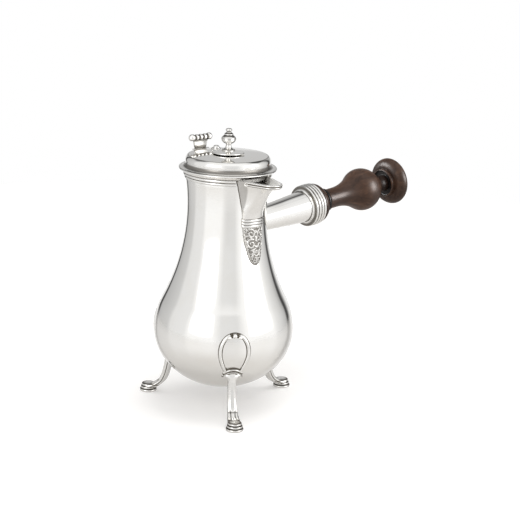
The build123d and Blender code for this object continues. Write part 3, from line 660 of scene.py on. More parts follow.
def makeBeak():
    rows = 70
    low = s["footHeight"] + s["floor"]
    outside, inside = [], []
    for i in range(rows + 1):
        height = s["footHeight"] + (s["lipHeight"] - s["footHeight"]) * i / rows
        outside.append(beakRow(height, 0, 0, s["embed"]))
        inside.append(beakRow(low + (s["lipHeight"] - low) * i / rows, s["wall"], s["floor"], 1.5))
    count = len(outside[0])
    points = [p for row in outside for p in row] + [p for row in inside for p in row]
    shift = (rows + 1) * count
    faces = []
    for i in range(rows):
        for j in range(count - 1):
            a = i * count + j
            faces.append((a, a + 1, a + count + 1, a + count))
            faces.append((shift + a, shift + a + count, shift + a + count + 1, shift + a + 1))
        for j in (0, count - 1):
            a = i * count + j
            faces.append((a, a + count, shift + a + count, shift + a))
    top = rows * count
    for j in range(count - 1):
        faces.append((top + j, top + j + 1, shift + top + j + 1, shift + top + j))
    faces.append(tuple(range(count)))
    faces.append(tuple(range(shift, shift + count)))
    faces.append((0, shift, shift + count - 1, count - 1))
    return solid(newPiece("spoutBeak", points, faces, 35))


# the beak's inside as a solid that reaches into the vessel
def mouthCutter():
    low = s["footHeight"] + s["floor"]
    heights = [low + (s["lipHeight"] - low) * i / 40 for i in range(41)]
    rings = [beakRow(height, s["wall"], s["floor"], 8.0) for height in heights]
    rings.append([(x, y, s["lipHeight"] + 3) for x, y, z in rings[-1]])
    points, faces = skin(rings)
    return solid(newPiece("mouthCutter", points, faces))


vesselRing = vesselOutline(0.0) + list(reversed(vesselOutline(v["wall"])))
vessel = turned("vesselBody", soften(vesselRing, 0.2, least=60), turns=288, sharp=50)
cutAway(vessel, mouthCutter())
markRecess(vessel, gain=0.0)
addTo(vessel, "dull", standOff(readPoints(vessel)) < -0.7)  # the inside
place(vessel, polished, "pot", "polished_silver", "vessel")

beak = makeBeak()
markRecess(beak, gain=0.0)
shadeAtWall(beak, 0.8, 0.95)
beakPoints = readPoints(beak)
flankReach = np.interp(beakPoints[:, 2], s["shadeLevels"], s["shadeReaches"])
addTo(beak, "recess", np.clip((flankReach - standOff(beakPoints)) / 0.9, 0, 1) * s["shade"])
addTo(beak, "dull", readVectors(beak, "normal")[:, 1] > 0.05)  # what faces the pot
place(beak, polished, "pot", "polished_silver", "spout_beak")
print("vessel and beak made")


# Geometry Nodes
def nodeTree(name, inputs):
    tree = bpy.data.node_groups.new(name, "GeometryNodeTree")
    tree.interface.new_socket("Geometry", in_out="INPUT", socket_type="NodeSocketGeometry")
    for label, kind, value in inputs:
        made = tree.interface.new_socket(label, in_out="INPUT", socket_type=kind)
        if value is not None:
            made.default_value = value
    tree.interface.new_socket("Geometry", in_out="OUTPUT", socket_type="NodeSocketGeometry")
    return tree


def grow(tree, kind, links=None, **settings):
    made = tree.nodes.new(kind)
    for name, value in settings.items():
        setattr(made, name, value)
    for name, value in (links or {}).items():
        if isinstance(value, bpy.types.NodeSocket):
            tree.links.new(value, made.inputs[name])
        else:
            made.inputs[name].default_value = value
    return made.outputs


# makes the copies real, gives them their material and ends the tree
def endTree(tree, geometry, finish):
    real = grow(tree, "GeometryNodeRealizeInstances", {"Geometry": geometry})
    dress = grow(tree, "GeometryNodeSetMaterial", {"Geometry": real["Geometry"], "Material": finish})
    grow(tree, "NodeGroupOutput", {"Geometry": dress["Geometry"]})
    return tree


# a round wire of a given radius along a path
def wireTree():
    tree = nodeTree("wire", [("Radius", "NodeSocketFloat", 0.001), ("Sides", "NodeSocketInt", 20),
                             ("Finish", "NodeSocketMaterial", None)])
    source = grow(tree, "NodeGroupInput")
    path = grow(tree, "GeometryNodeMeshToCurve", {"Mesh": source["Geometry"]})
    ring = grow(tree, "GeometryNodeCurvePrimitiveCircle",
                {"Resolution": source["Sides"], "Radius": source["Radius"]})
    tube = grow(tree, "GeometryNodeCurveToMesh",
                {"Curve": path["Curve"], "Profile Curve": ring["Curve"], "Fill Caps": True})
    return endTree(tree, tube["Mesh"], source["Finish"])


# a ball at each point of a mesh, sized by its attribute ball
def beadTree():
    tree = nodeTree("beads", [("Segments", "NodeSocketInt", 40), ("Rings", "NodeSocketInt", 28),
                              ("Finish", "NodeSocketMaterial", None)])
    source = grow(tree, "NodeGroupInput")
    dots = grow(tree, "GeometryNodeMeshToPoints", {"Mesh": source["Geometry"]})
    ball = grow(tree, "GeometryNodeMeshUVSphere",
                {"Segments": source["Segments"], "Rings": source["Rings"], "Radius": 1.0})
    size = grow(tree, "GeometryNodeInputNamedAttribute", {"Name": "ball"}, data_type="FLOAT")
    copies = grow(tree, "GeometryNodeInstanceOnPoints",
                  {"Points": dots["Points"], "Instance": ball["Mesh"], "Scale": size["Attribute"]})
    return endTree(tree, copies["Instances"], source["Finish"])


# runs a node tree on a few points and returns its result as a plain piece
def grown(name, tree, points, edges, settings, sizes=()):
    mesh = bpy.data.meshes.new(name)
    mesh.from_pydata([tuple(c * mm for c in p) for p in points], edges, [])
    if sizes:
        field = mesh.attributes.new("ball", "FLOAT", "POINT")
        field.data.foreach_set("value", [size * mm for size in sizes])
    piece = bpy.data.objects.new(name, mesh)
    scene.collection.objects.link(piece)
    tool = piece.modifiers.new("grow", "NODES")
    tool.node_group = tree
    for item in tree.interface.items_tree:
        if item.item_type == "SOCKET" and item.in_out == "INPUT" and item.name in settings:
            tool[item.identifier] = settings[item.name]
    bake(piece).shade_smooth()
    return solid(piece)


wires = wireTree()
beads = beadTree()


def reedAlong(path, radius, sides, finish):
    edges = [(i, i + 1) for i in range(len(path) - 1)]
    return grown("reed", wires, path, edges, {"Radius": radius * mm, "Sides": sides, "Finish": finish})


def ballsAt(name, spots, sizes, segments, rings):
    settings = {"Segments": segments, "Rings": rings, "Finish": castSilver}
    return grown(name, beads, spots, [], settings, sizes)


# several pieces as one mesh: each part is a piece and its amount of painted shade
def joined(name, parts):
    shape = bmesh.new()
    paintedShades = []
    for part, paintedShade in parts:
        paintedShades += [paintedShade] * len(part.data.vertices)
        shape.from_mesh(part.data)
    mesh = bpy.data.meshes.new(name)
    shape.to_mesh(mesh)
    shape.free()
    for part, paintedShade in parts:
        bpy.data.objects.remove(part)
    piece = bpy.data.objects.new(name, mesh)
    scene.collection.objects.link(piece)
    mesh.shade_smooth()
    return addTo(piece, "recess", np.array(paintedShades))


# lip wire
lipWire = {
    "start": 40.0,
    "curl": 1.6,
    # level, radius, reach and painted shade of the two reeds, the dark line between them and the one under
    # them
    "lines": ((202.68, 0.64, 0.5, 0.0), (200.8, 0.62, 0.35, 0.0), (201.73, 0.56, 0.46, 0.95),
              (200.1, 0.36, 0.1, 0.85)),
}


def lipPath(level, extra):
    row = spoutPath(s["lipSpread"] + extra, s["lipReach"] + extra, s["lipNose"] + extra,
                    s["lipHeight"], 0.0, 30, 60)
    return [(x, y, level) for x, y in row if -y > lipWire["start"]]


# a small scroll that ends the wire beside the rim, from its tip to the path's first point
def curlEnd(path):
    here, following = Vector(path[0]), Vector(path[1])
    back = (here - following).normalized()
    centre = here - Vector((0, 0, lipWire["curl"]))
    points = []
    for i in range(1, 15):
        a = radians(22 * i)
        r = lipWire["curl"] * (1 - 0.035 * i)
        points.append(tuple(centre + back * (r * sin(a)) + Vector((0, 0, r * cos(a)))))
    return list(reversed(points))


def makeLipWire():
    parts = []
    for index, (level, radius, extra, paintedShade) in enumerate(lipWire["lines"]):
        path = lipPath(level, extra)
        if index == 0:
            path = curlEnd(path) + path + list(reversed(curlEnd(list(reversed(path)))))
        parts.append((reedAlong(path, radius, 20, moulded), paintedShade))
    return joined("spoutLipWire", parts)


place(makeLipWire(), moulded, "pot", "polished_silver", "spout_lip_wire")

# band under the beak
bandSizes = {"reeds": 3, "reed": 2.35, "reach": 0.75, "valley": 0.15, "sink": 0.7}


# the wall's own line, from the end of a row back to its start
def backRow(row, wall, count):
    a0, a1 = atan2(row[-1][0], -row[-1][1]), atan2(row[0][0], -row[0][1])
    angles = [a0 + (a1 - a0) * i / count for i in range(1, count)]
    return [(wall * sin(a), -wall * cos(a)) for a in angles]


def bandRing(height, out):
    front = spoutPath(s["footSpread"] + out, s["footReach"] + out, s["footNose"] + out,
                      height, bandSizes["sink"], 10, 60)
    rear = backRow(front, vesselRadius(height) - bandSizes["sink"], 24)
    return [(x, y, height) for x, y in front + rear]


def makeBand():
    rings = []
    bottom = s["footHeight"] - bandSizes["reeds"] * bandSizes["reed"]
    for i in range(bandSizes["reeds"]):
        base = bottom + i * bandSizes["reed"]
        for k in range(1 if i else 0, 13):
            a = pi * k / 12
            out = bandSizes["valley"] + (bandSizes["reach"] - bandSizes["valley"]) * sin(a) ** 0.7
            rings.append(bandRing(base + bandSizes["reed"] * (0.5 - 0.5 * cos(a)), out))
    points, faces = skin(rings)
    return solid(newPiece("spoutBand", points, faces, 70))


# painted shade in the band's hollows, where it meets the wall and in the grooves between its reeds
band = shadeAtWall(markRecess(makeBand(), gain=3.0, blur=2), 0.8)
bandGrooves = [(s["footHeight"] - i * bandSizes["reed"], 0.45, 0.85) for i in range(bandSizes["reeds"] + 1)]
darken(band, readPoints(band)[:, 2], bandGrooves, peak=1.1)
place(band, moulded, "pot", "polished_silver", "spout_band")

# pendant drop
dropSizes = {
    "length": 32.0,
    "top": 163.15,
    "tipNose": 4.0,
    "tipProud": 1.2,
    "sink": 0.7,
    # height down the drop, its half width, and how far its face has come in, as shares
    "stations": ((0.0, 1.0, 0.0), (0.33, 0.88, 0.05), (0.6, 0.71, 0.15), (0.82, 0.52, 0.35),
                 (0.95, 0.30, 0.7), (1.0, 0.1, 1.0)),
    "relief": 0.75,
    "ground": 0.45,
    "shadeAndTarnish": 0.66,
    "seed": 11,
    # scrolls of the chased foliage: centre across and down, outer radius, turns, hand
    "scrolls": (
        (-4.7, 4.9, 3.9, 1.25, 1), (4.6, 5.6, 3.7, 1.25, -1), (-4.6, 13.6, 4.3, 1.3, -1),
        (4.2, 14.4, 3.9, 1.25, 1), (0.1, 20.6, 3.6, 1.3, -1), (-4.6, 23.6, 1.9, 0.9, 1),
        (4.7, 22.6, 1.9, 0.9, -1), (-1.9, 27.9, 2.3, 1.1, 1), (2.3, 27.6, 2.1, 1.0, -1),
        (-10.2, 3.2, 1.9, 0.9, 1), (10.2, 3.8, 1.9, 0.9, -1), (-10.0, 10.6, 1.9, 0.9, -1),
        (9.6, 11.0, 1.9, 0.9, 1), (-9.4, 17.0, 1.7, 0.9, 1), (9.0, 17.2, 1.7, 0.9, -1),
    ),
}


# balls whose union is the relief: across, down and radius
def foliage():
    chance = np.random.default_rng(dropSizes["seed"])
    balls = []
    for cx, cy, radius, turns, hand in dropSizes["scrolls"]:
        lean = chance.uniform(-0.6, 0.6)
        for i in range(61):  # the scroll
            t = i / 60
            a = hand * (lean + 2 * pi * turns * t)
            r = radius * (1 - 0.78 * t)
            balls.append((cx + r * sin(a), cy - r * cos(a), 0.235 * radius * (1 - 0.3 * t)))
        for q in range(6):  # leaves round the outside
            a = hand * (lean + 1.05 * q + 0.5)
            long = chance.uniform(0.45, 0.8) * radius
            for i in range(8):
                t = i / 7
                r = radius * 1.2 + long * t
                b = a + hand * 0.4 * t
                balls.append((cx + r * sin(b), cy - r * cos(b), 0.24 * radius * (1 - 0.6 * t)))
    for i in range(15):  # the plain edge at the top
        balls.append((-15.4 + 2.2 * i, 0.1, 0.9))
    return np.array(balls)


def makeDrop():
    rows, across = 330, 190
    d = dropSizes
    topProud = s["footReach"] - v["throatRadius"]
    grid, flat = [], []
    for i in range(rows + 1):
        down = i / rows
        wide, backIn = smoothTable(d["stations"], down)
        height = d["top"] - down * d["length"]
        proud = topProud + backIn * (d["tipProud"] - topProud)
        nose = s["footNose"] + backIn * (d["tipNose"] - s["footNose"])
        width = max(wide, 0.06) * s["footSpread"]
        row = spoutPath(width, vesselRadius(height) + proud, nose, height, d["sink"], 10, across)
        grid.append([(x, y, height) for x, y in row])
        run = np.concatenate(([0.0], np.cumsum(np.hypot(*np.diff(np.array(row), axis=0).T))))
        flat.append([(run[len(row) // 2] - a, down * d["length"]) for a in run])
    co = np.array(grid)
    spot = np.array(flat).reshape(-1, 2)
    lift = np.zeros(len(spot))
    for bx, by, br in foliage():
        near = np.abs(spot[:, 1] - by) < br * 1.05
        gap = np.hypot(spot[near, 0] - bx, spot[near, 1] - by)
        dome = d["relief"] * min(1.0, br / 0.75) * np.sqrt(np.maximum(1 - (gap / br) ** 2, 0))
        lift[near] = np.maximum(lift[near], dome)
    count = co.shape[1]
    normal = np.cross(np.gradient(co, axis=1), np.gradient(co, axis=0)).reshape(-1, 3)
    normal /= np.maximum(np.linalg.norm(normal, axis=1), 1e-9)[:, None]
    normal[np.einsum("ij,ij->i", normal, co.reshape(-1, 3) * np.array((1, 1, 0))) < 0] *= -1
    # the relief fades out where the drop meets the wall
    side = np.abs(np.linspace(-1, 1, count))[None, :].repeat(rows + 1, 0).reshape(-1)
    edge = np.clip((0.97 - side) / 0.06, 0, 1)
    ends = np.clip(np.minimum(spot[:, 1], d["length"] - spot[:, 1]) / 0.4, 0, 1)
    moved = co.reshape(-1, 3) + normal * ((lift - d["ground"]) * edge * ends)[:, None]
    # painted shade on the ground between the chased relief, less where the relief stands high, fading out at
    # the edges
    shade = np.clip(1.12 - lift / 0.36, 0.34, 1) * edge
    rings, shadeAndTarnish = [], []
    for i in range(rows + 1):
        front = [tuple(p) for p in moved[i * count:(i + 1) * count]]
        height = front[0][2]
        rear = backRow(front, vesselRadius(height) - d["sink"], 12)
        rings.append(front + [(x, y, height) for x, y in rear])
        shadeAndTarnish += list(shade[i * count:(i + 1) * count]) + [0.0] * len(rear)
    points, faces = skin(rings)
    piece = newPiece("spoutDrop", points, faces, 80)
    addTo(piece, "recess", np.array(shadeAndTarnish) * d["shadeAndTarnish"])
    return shadeAtWall(solid(piece), 0.7)


place(makeDrop(), chased, "pot", "chased_silver", "spout_drop")
print("spout dressed")

# rim moulding
rimSizes = {
    "gap": 28.6,  # half of the opening at the spout, in degrees
    "inside": v["rimRadius"] - 0.3,
    "grooves": ((200.8, 0.4, 0.8), (198.35, 0.3, 0.8), (203.2, 0.3, 0.8)),
}
rimOutline = trace(
    (rimSizes["inside"], 198.2),
    (35.05, 198.2),
    ((35.35, 200.7), 1.15),
    ((35.45, 200.95), -0.12),
    ((36.6, 203.3), 1.25),
    ((36.2, 203.5), 0.06),
    (rimSizes["inside"], 203.5),
    step=0.2,
)
rim = turned(
    "rimMoulding",
    rimOutline,
    turns=240,
    closed=True,
    start=-90 + rimSizes["gap"],
    sweep=360 - 2 * rimSizes["gap"],
    sharp=60,
)
# painted shade in the moulding's hollows, where it meets the wall and in its grooves
shadeAtWall(markRecess(rim, gain=3.0, blur=2), 0.35, 0.8)
darken(rim, readPoints(rim)[:, 2], rimSizes["grooves"])
place(rim, moulded, "pot", "polished_silver", "rim_moulding")

# cover
coverSizes = {
    "seat": 203.8,
    "flangeSeat": 37.6,
    "flangeTop": 208.4,
    "domeWall": 1.0,
    "dome": ((36.9, 208.4), (35.7, 212.2), (33.4, 217.3)),  # foot, waist and crease
    "crown": 219.1,
    "crownSwell": 0.3,
    "whiskHole": 8.0,
    "bezelRadius": 33.3,
    "bezelWall": 0.9,
    "bezelEnd": 199.6,
    "bezelTaper": 0.7,
    "notchHalf": 8.3,
}
c = coverSizes


def domeOutline(inset):
    (foot, footLevel), (waist, waistLevel), (edge, edgeLevel) = c["dome"]
    reach = edge - inset
    points = trace((foot - inset, footLevel), ((waist - inset, waistLevel), -0.5),
                   ((reach, edgeLevel - inset), 0.95), step=0.35)
    for i in range(1, 60):
        share = 1 - i / 59 * (1 - c["whiskHole"] / reach)
        swell = c["crownSwell"] * (1 - (2 * share - 1) ** 2)
        points.append((reach * share, c["crown"] + (edgeLevel - c["crown"]) * share + swell - inset))
    return points


# room for the hinge at the back
def notch(front, bottom):
    return block("notch", (-c["notchHalf"], front, bottom), (c["notchHalf"], 60, 225))


domeRing = domeOutline(0.0) + list(reversed(domeOutline(c["domeWall"])))
dome = turned("coverDome", soften(domeRing, 0.25, closed=True, least=20), turns=256, closed=True, sharp=50)
cutAway(dome, notch(33.05, 208.0))
markRecess(dome, gain=0.6, blur=1)
domePoints = readPoints(dome)
domeReach = reachOf(domePoints)
# a painted dark band on the cove at the foot of the dome, below its highlight
addTo(dome, "recess", np.clip((211.7 - domePoints[:, 2]) / 1.3, 0, 0.8) * (domeReach > 35.4))
# a painted dark line along the crease of the dome
darken(dome, domeReach, [(c["dome"][2][0], 0.45, 0.9)], where=domePoints[:, 2] > 216.6)
place(dome, polished, "cover", "polished_silver", "cover_dome")

flangeOutline = trace(
    (33.35, c["seat"]),
    (c["flangeSeat"], c["seat"]),
    ((40.4, 206.1), -0.35),
    ((40.7, 207.35), 0.55),
    ((39.9, 207.55), 0.1),
    ((36.95, c["flangeTop"]), -0.35),
    (33.35, c["flangeTop"]),
    step=0.25,
)
flange = turned("coverFlange", soften(flangeOutline, 0.18, closed=True), turns=256, closed=True, sharp=50)
cutAway(flange, notch(34.8, 200.0))
markRecess(flange, gain=1.5, blur=2)
flangePoints = readPoints(flange)
flangeReach = reachOf(flangePoints)
# painted shade on the flange beside the dome's foot, and in lines near its edge
addTo(flange, "recess", np.clip((37.7 - flangeReach) / 0.7, 0, 0.6) * (flangePoints[:, 2] > 206))
darken(flange, flangeReach, ((39.5, 0.35, 0.4), (40.55, 0.35, 0.5)), peak=1)
place(flange, moulded, "cover", "polished_silver", "cover_flange")

bezelOutline = [(c["bezelRadius"], c["flangeTop"]), (c["bezelRadius"], c["seat"]),
                (c["bezelRadius"] - c["bezelTaper"], c["bezelEnd"])]
bezelOutline += [(radius - c["bezelWall"], level) for radius, level in reversed(bezelOutline)]
bezel = turned("coverBezel", soften(bezelOutline, 0.12, closed=True), turns=192, closed=True)
markRecess(bezel, gain=0.0)
addTo(bezel, "dull", 1.0)
place(bezel, moulded, "cover", "polished_silver", "cover_bezel")

# painted shade up the thumb plate, from just over the leaf
thumbShade = {"levels": (216.4, 217.0, 219.0, 220.0, 222.4, 223.6), "depths": (0.2, 0.9, 0.8, 0.2, 0.12, 0.7)}


def shadeThumbPlate(piece):
    shape = bmesh.new()
    shape.from_mesh(piece.data)
    for level in thumbShade["levels"]:
        parts = shape.verts[:] + shape.edges[:] + shape.faces[:]
        bmesh.ops.bisect_plane(shape, geom=parts, plane_co=(0, 0, level * mm), plane_no=(0, 0, 1))
    shape.to_mesh(piece.data)
    shape.free()
    heights = readPoints(piece)[:, 2]
    addTo(piece, "recess", np.interp(heights, thumbShade["levels"], thumbShade["depths"]))


refined("hinge_bracket", "hingeBracket", "pot")
refined("hinge_pin", "hingePin", "pot")
addTo(refined("cover_hinge_leaf", "coverHingeLeaf", "cover"), "recess", 0.14)
shadeThumbPlate(refined("thumbpiece", "thumbPlate", "cover"))
refined("pivot_washer", "pivotWasher", "cover")
refined("handle_pin", "handlePin", "pot")
print("cover made")

# thumbpiece beads
thumbRow = {"y": 37.5, "z": 226.4, "small": 2.7, "large": 3.1, "pitch": 4.2, "count": 3, "cut": 224.0}
t = thumbRow
endPlace = t["count"] * t["pitch"] / 2 + t["large"] * 0.84
spots = [((i - (t["count"] - 1) / 2) * t["pitch"], t["y"], t["z"]) for i in range(t["count"])]
spots += [(-endPlace, t["y"], t["z"]), (endPlace, t["y"], t["z"])]
beadRow = ballsAt("thumbBeads", spots, [t["small"]] * t["count"] + [t["large"]] * 2, 48, 32)
cutAway(beadRow, block("trim", (-20, 30, 215), (20, 45, t["cut"])), 60)
markRecess(beadRow, gain=0.0)
beadPoints = readPoints(beadRow)
# painted shade in the seams between the beads and on their lower sides
seams = [(i - t["count"] / 2) * t["pitch"] for i in range(t["count"] + 1)]
nearest = np.min([np.abs(beadPoints[:, 0] - seam) for seam in seams], axis=0)
darken(beadRow, nearest, [(0, 0.8, 1)], peak=1.5)
addTo(beadRow, "recess", np.clip((225.4 - beadPoints[:, 2]) / 1.6, 0, 0.75))
place(beadRow, moulded, "cover", "polished_silver", "thumb_beads")

# plate, finial and rivet
plateSizes = {
    "base": 219.4, "rim": 1.1, "rise": 0.8, "radius": 13.8, "round": 0.55, "hub": 5.4, "bore": 1.45,
    "pivot": 16.0, "ear": 4.7, "root": 6.9, "hole": 1.55, "recess": 4.15, "recessBase": 220.5,
}
p = plateSizes
finialSizes = {
    "tip": (2.7, 238.7, 1.3),  # half width, level and rise of the top
    # place, half width and depth of the painted shade in the grooves
    "grooves": ((233.9, 0.9, 0.95), (235.9, 0.7, 0.9), (237.4, 0.8, 0.8), (231.6, 0.7, 0.35),
                (226.7, 0.8, 0.4), (222.2, 0.5, 0.5)),
}
tipHalf, tipLevel, tipRise = finialSizes["tip"]
finialOutline = trace(
    (0.0, p["base"]),
    (1.4, p["base"]),
    (1.4, 221.3),
    (5.4, 221.3),
    ((5.4, 222.2), 0.25),
    ((2.3, 226.2), -1.0),
    (2.3, 227.1),
    ((6.2, 231.2), 1.07),
    ((3.1, 234.0), 0.73),
    (3.6, 234.05),
    ((3.6, 235.3), 0.3),
    (2.7, 236.1),
    ((1.9, 237.4), -0.32),
    ((tipHalf, tipLevel), 0.32),
    step=0.2,
)
finialOutline += [(tipHalf * cos(pi * i / 28), tipLevel + tipRise * sin(pi * i / 28)) for i in range(1, 14)]
finialOutline.append((0.0, tipLevel + tipRise))
finial = turned("finial", soften(finialOutline, 0.12), turns=96, sharp=60)
markRecess(finial, gain=2.5, blur=2)
# a little painted shade over the whole finial
addTo(finial, "recess", 0.18)
darken(finial, readPoints(finial)[:, 2], finialSizes["grooves"], peak=1)
place(finial, moulded, "cap", "polished_silver", "finial")

plateRim, plateTop = p["base"] + p["rim"], p["base"] + p["rim"] + p["rise"]
plateOutline = trace(
    (p["bore"], p["base"]),
    (p["radius"] - p["round"], p["base"]),
    ((p["radius"] - p["round"], plateRim), p["round"]),
    (p["hub"], plateTop),
    (p["bore"], plateTop),
    step=0.2,
)
plate = turned("plateDisc", soften(plateOutline, 0.12, closed=True), turns=144, closed=True, sharp=50)


# the plate's ear: an outline round two circles, one at the rivet and one at the plate
def earPiece():
    far, near = (p["pivot"], p["ear"]), (p["radius"] - p["root"], p["root"])
    lean = asin((near[1] - far[1]) / (far[0] - near[0]))
    middle = p["pivot"] * 0.7
    angles = [(far, lean + (pi - 2 * lean) * i / 32) for i in range(33)]
    angles += [(near, pi - lean + (pi + 2 * lean) * i / 32) for i in range(33)]
    ring = [(radius * cos(a), centre + radius * sin(a)) for (centre, radius), a in angles]
    rings = []
    for level, inset in ((0.0, 0.12), (0.12, 0.0), (p["rim"] - 0.15, 0.0), (p["rim"], 0.15)):
        rings.append([(x * (1 - inset / 6), middle + (y - middle) * (1 - inset / 9), p["base"] + level)
                      for x, y in ring])
    points, faces = skin(rings)
    return solid(newPiece("plateEar", points, faces))


def drill(radius, low, turns):
    outline = [(0, low), (radius, low), (radius, 225.0), (0, 225.0)]
    return turned("drill", outline, turns=turns, centre=(0, p["pivot"]))


ear = earPiece()
cutAway(ear, drill(p["hole"], 215.0, 48))
cutAway(plate, drill(p["recess"], p["recessBase"], 64))
cutAway(plate, drill(p["hole"], 215.0, 48))
swivelPlate = joined("swivelPlate", [(plate, 0.0), (ear, 0.0)])
swivelPlate.data.set_sharp_from_angle(angle=radians(50))
markRecess(swivelPlate, gain=0.5)
place(swivelPlate, moulded, "cap", "polished_silver", "swivel_plate")

rivetOutline = trace(
    (0.0, 216.9),
    (2.7, 216.9),
    (2.7, 217.6),
    (1.5, 217.6),
    (1.5, 220.55),
    (3.85, 220.55),
    (3.85, 220.9),
    ((2.75, 221.25), 0.1),
    ((0.0, 222.95), 0.75),
    step=0.15,
)
rivet = turned("swivelRivet", soften(rivetOutline, 0.1), turns=72, centre=(0, p["pivot"]), sharp=60)
# painted shade in the rivet's hollows, and a little over all of it
addTo(markRecess(rivet, gain=1.4), "recess", 0.15)
place(rivet, moulded, "cover", "polished_silver", "swivel_rivet")
print("cap made")

# handle
socketSizes = {"start": (9.4, 22.0), "end": (14.55, 97.0), "wall": 1.0}  # radius and place
socketOuter = [socketSizes["start"], socketSizes["end"]]
socketInner = [(radius - socketSizes["wall"], spot) for radius, spot in reversed(socketOuter)]
socketOutline = trace(*socketOuter, *socketInner, socketOuter[0], step=1.0)[:-1]
socket = turned("handleSocket", socketOutline, turns=160, along=handleLine, closed=True, sharp=50)


def vesselCore():
    outline = [q for q in vesselOutline(0.3) if q[1] < 203.4] + [(34.5, 206.0), (0.0, 206.0)]
    return turned("core", outline, turns=160)


cutAway(socket, vesselCore())
markRecess(socket, gain=0.0)
place(socket, polished, "pot", "polished_silver", "handle_socket")

collarSizes = {"start": 85.6, "end": 99.3, "radius": 18.5, "bore": 13.9, "step": 1.9, "lip": 1.6, "reeds": 4,
               "swell": 0.4}
k = collarSizes
reed = (k["end"] - k["start"] - k["lip"]) / (2 * k["reeds"])
seat = k["radius"] - k["swell"] - reed
shoulder = k["radius"] - k["step"]
outline = trace((k["bore"], k["start"]), ((shoulder, k["start"] + k["lip"]), -0.35), step=0.2)
for i in range(k["reeds"]):
    swell = k["swell"] * sin(pi * (i + 0.5) / k["reeds"])
    middle = k["start"] + k["lip"] + (2 * i + 1) * reed
    for q in range(17):
        a = radians(168 - 156 * q / 16)
        outline.append((seat + swell + reed * sin(a), middle + reed * cos(a)))
outline += [(shoulder, k["end"]), (k["bore"], k["end"])]
collar = turned("socketCollar", outline, turns=176, along=handleLine, closed=True, sharp=60)
# painted shade in the collar's hollows and in the grooves between its reeds
markRecess(collar, gain=2.4, blur=1)
collarGrooves = [(k["start"] + k["lip"] + 2 * i * reed, 0.65, 0.85) for i in range(k["reeds"] + 1)]
darken(collar, alongHandle(readPoints(collar)), collarGrooves)
place(collar, moulded, "pot", "polished_silver", "socket_collar")

grip = {
    "flange": 17.2, "flangeEdge": 2.4, "cove": 5.8, "quirkRadius": 9.5, "quirk": 1.4,
    "bead": 3.0, "beadProud": 1.4, "ringRadius": 9.85, "ring": 1.7,
    "neck": 8.85, "neckPlace": 124.0, "radius": 19.0, "place": 157.0, "frontArc": 16.0, "backArc": 17.5,
    "knobNeck": 7.5, "knobNeckPlace": 179.5, "knobNeckLength": 6.3,
    "cupDepth": 1.9, "cupRadius": 10.8, "cupLip": 1.9, "cupQuirk": 1.2,
    "knobRadius": 21.0, "knobPlace": 194.0, "knobBack": 2.4, "knobEdge": 18.0, "knobEdgePlace": 198.0,
    "end": 200.6,
    # from, to, out to which radius, and depth of the painted shade
    "shades": ((105.6, 112.2, 12.0, 1.0), (113.5, 114.4, 12.0, 0.6), (176.0, 187.0, 11.6, 0.55),
               (184.6, 220.0, 40.0, 0.2), (99.0, 105.6, 40.0, 0.3)),
}


# 30 points of an arc, out from its start or back to it
def fan(turn, spot, back=False):
    return [spot(turn * (1 - i / 30) if back else turn * i / 30) for i in range(1, 31)]


# the tenon, the turned mouldings, the grip and the knob: the arcs bulge to the other side,
# because radius comes first here
def gripOutline():
    g = grip
    coveStart = k["end"] + g["flangeEdge"]
    coveEnd = coveStart + g["cove"]
    beadStart = coveEnd + g["quirk"]
    beadEnd = beadStart + g["bead"]
    ringEnd = beadEnd + g["ring"]
    cupFloor = g["knobNeckPlace"] + g["knobNeckLength"]
    lipFront = cupFloor - g["cupDepth"]
    lipOut = g["cupRadius"] + g["cupLip"]
    points = trace(
        (0.0, 52.0),
        (10.3, 52.0),
        (13.4, k["end"]),
        (g["flange"], k["end"]),
        ((g["flange"], coveStart), 0.25),
        ((g["quirkRadius"], coveEnd), 1.4),
        (g["quirkRadius"], beadStart),
        ((g["quirkRadius"], beadEnd), g["beadProud"]),
        (g["ringRadius"], beadEnd),
        ((g["ringRadius"], ringEnd), 0.45),
        (g["neck"], ringEnd),
        (g["neck"], g["neckPlace"]),
        step=0.35,
    )
    front, rear = g["radius"] - g["frontArc"], g["radius"] - g["backArc"]
    reach, drop = g["place"] - g["neckPlace"], g["neck"] - front
    arc = meetingArc(reach, drop, g["frontArc"])
    turn = atan2(reach, drop + arc)
    points += fan(turn, lambda a: (g["neck"] + arc - arc * cos(a), g["neckPlace"] + arc * sin(a)))
    points += fan(turn, lambda a: (front + g["frontArc"] * cos(a), g["place"] - g["frontArc"] * sin(a)),
                  back=True)
    reach, drop = g["knobNeckPlace"] - g["place"], g["knobNeck"] - rear
    arc = meetingArc(reach, drop, g["backArc"])
    turn = atan2(reach, drop + arc)
    points += fan(turn, lambda a: (rear + g["backArc"] * cos(a), g["place"] + g["backArc"] * sin(a)))
    points += fan(turn, lambda a: (g["knobNeck"] + arc - arc * cos(a), g["knobNeckPlace"] - arc * sin(a)),
                  back=True)
    points += trace(
        points[-1],
        (g["knobNeck"], cupFloor),
        (g["cupRadius"], cupFloor),
        ((g["cupRadius"] + g["cupLip"] / 2, lipFront), -0.5),
        ((lipOut, lipFront + g["cupLip"]), 0.5),
        (lipOut, cupFloor + g["cupQuirk"]),
        ((g["knobRadius"], g["knobPlace"]), g["knobBack"]),
        ((g["knobEdge"], g["knobEdgePlace"]), g["knobBack"] / 3),
        step=0.35,
    )[1:]
    for i in range(1, 25):
        radius = g["knobEdge"] * (1 - i / 24)
        dome = (g["end"] - g["knobEdgePlace"]) * (1 - (radius / g["knobEdge"]) ** 2)
        points.append((radius, g["knobEdgePlace"] + dome))
    points[-1] = (0.0, g["end"])
    return points


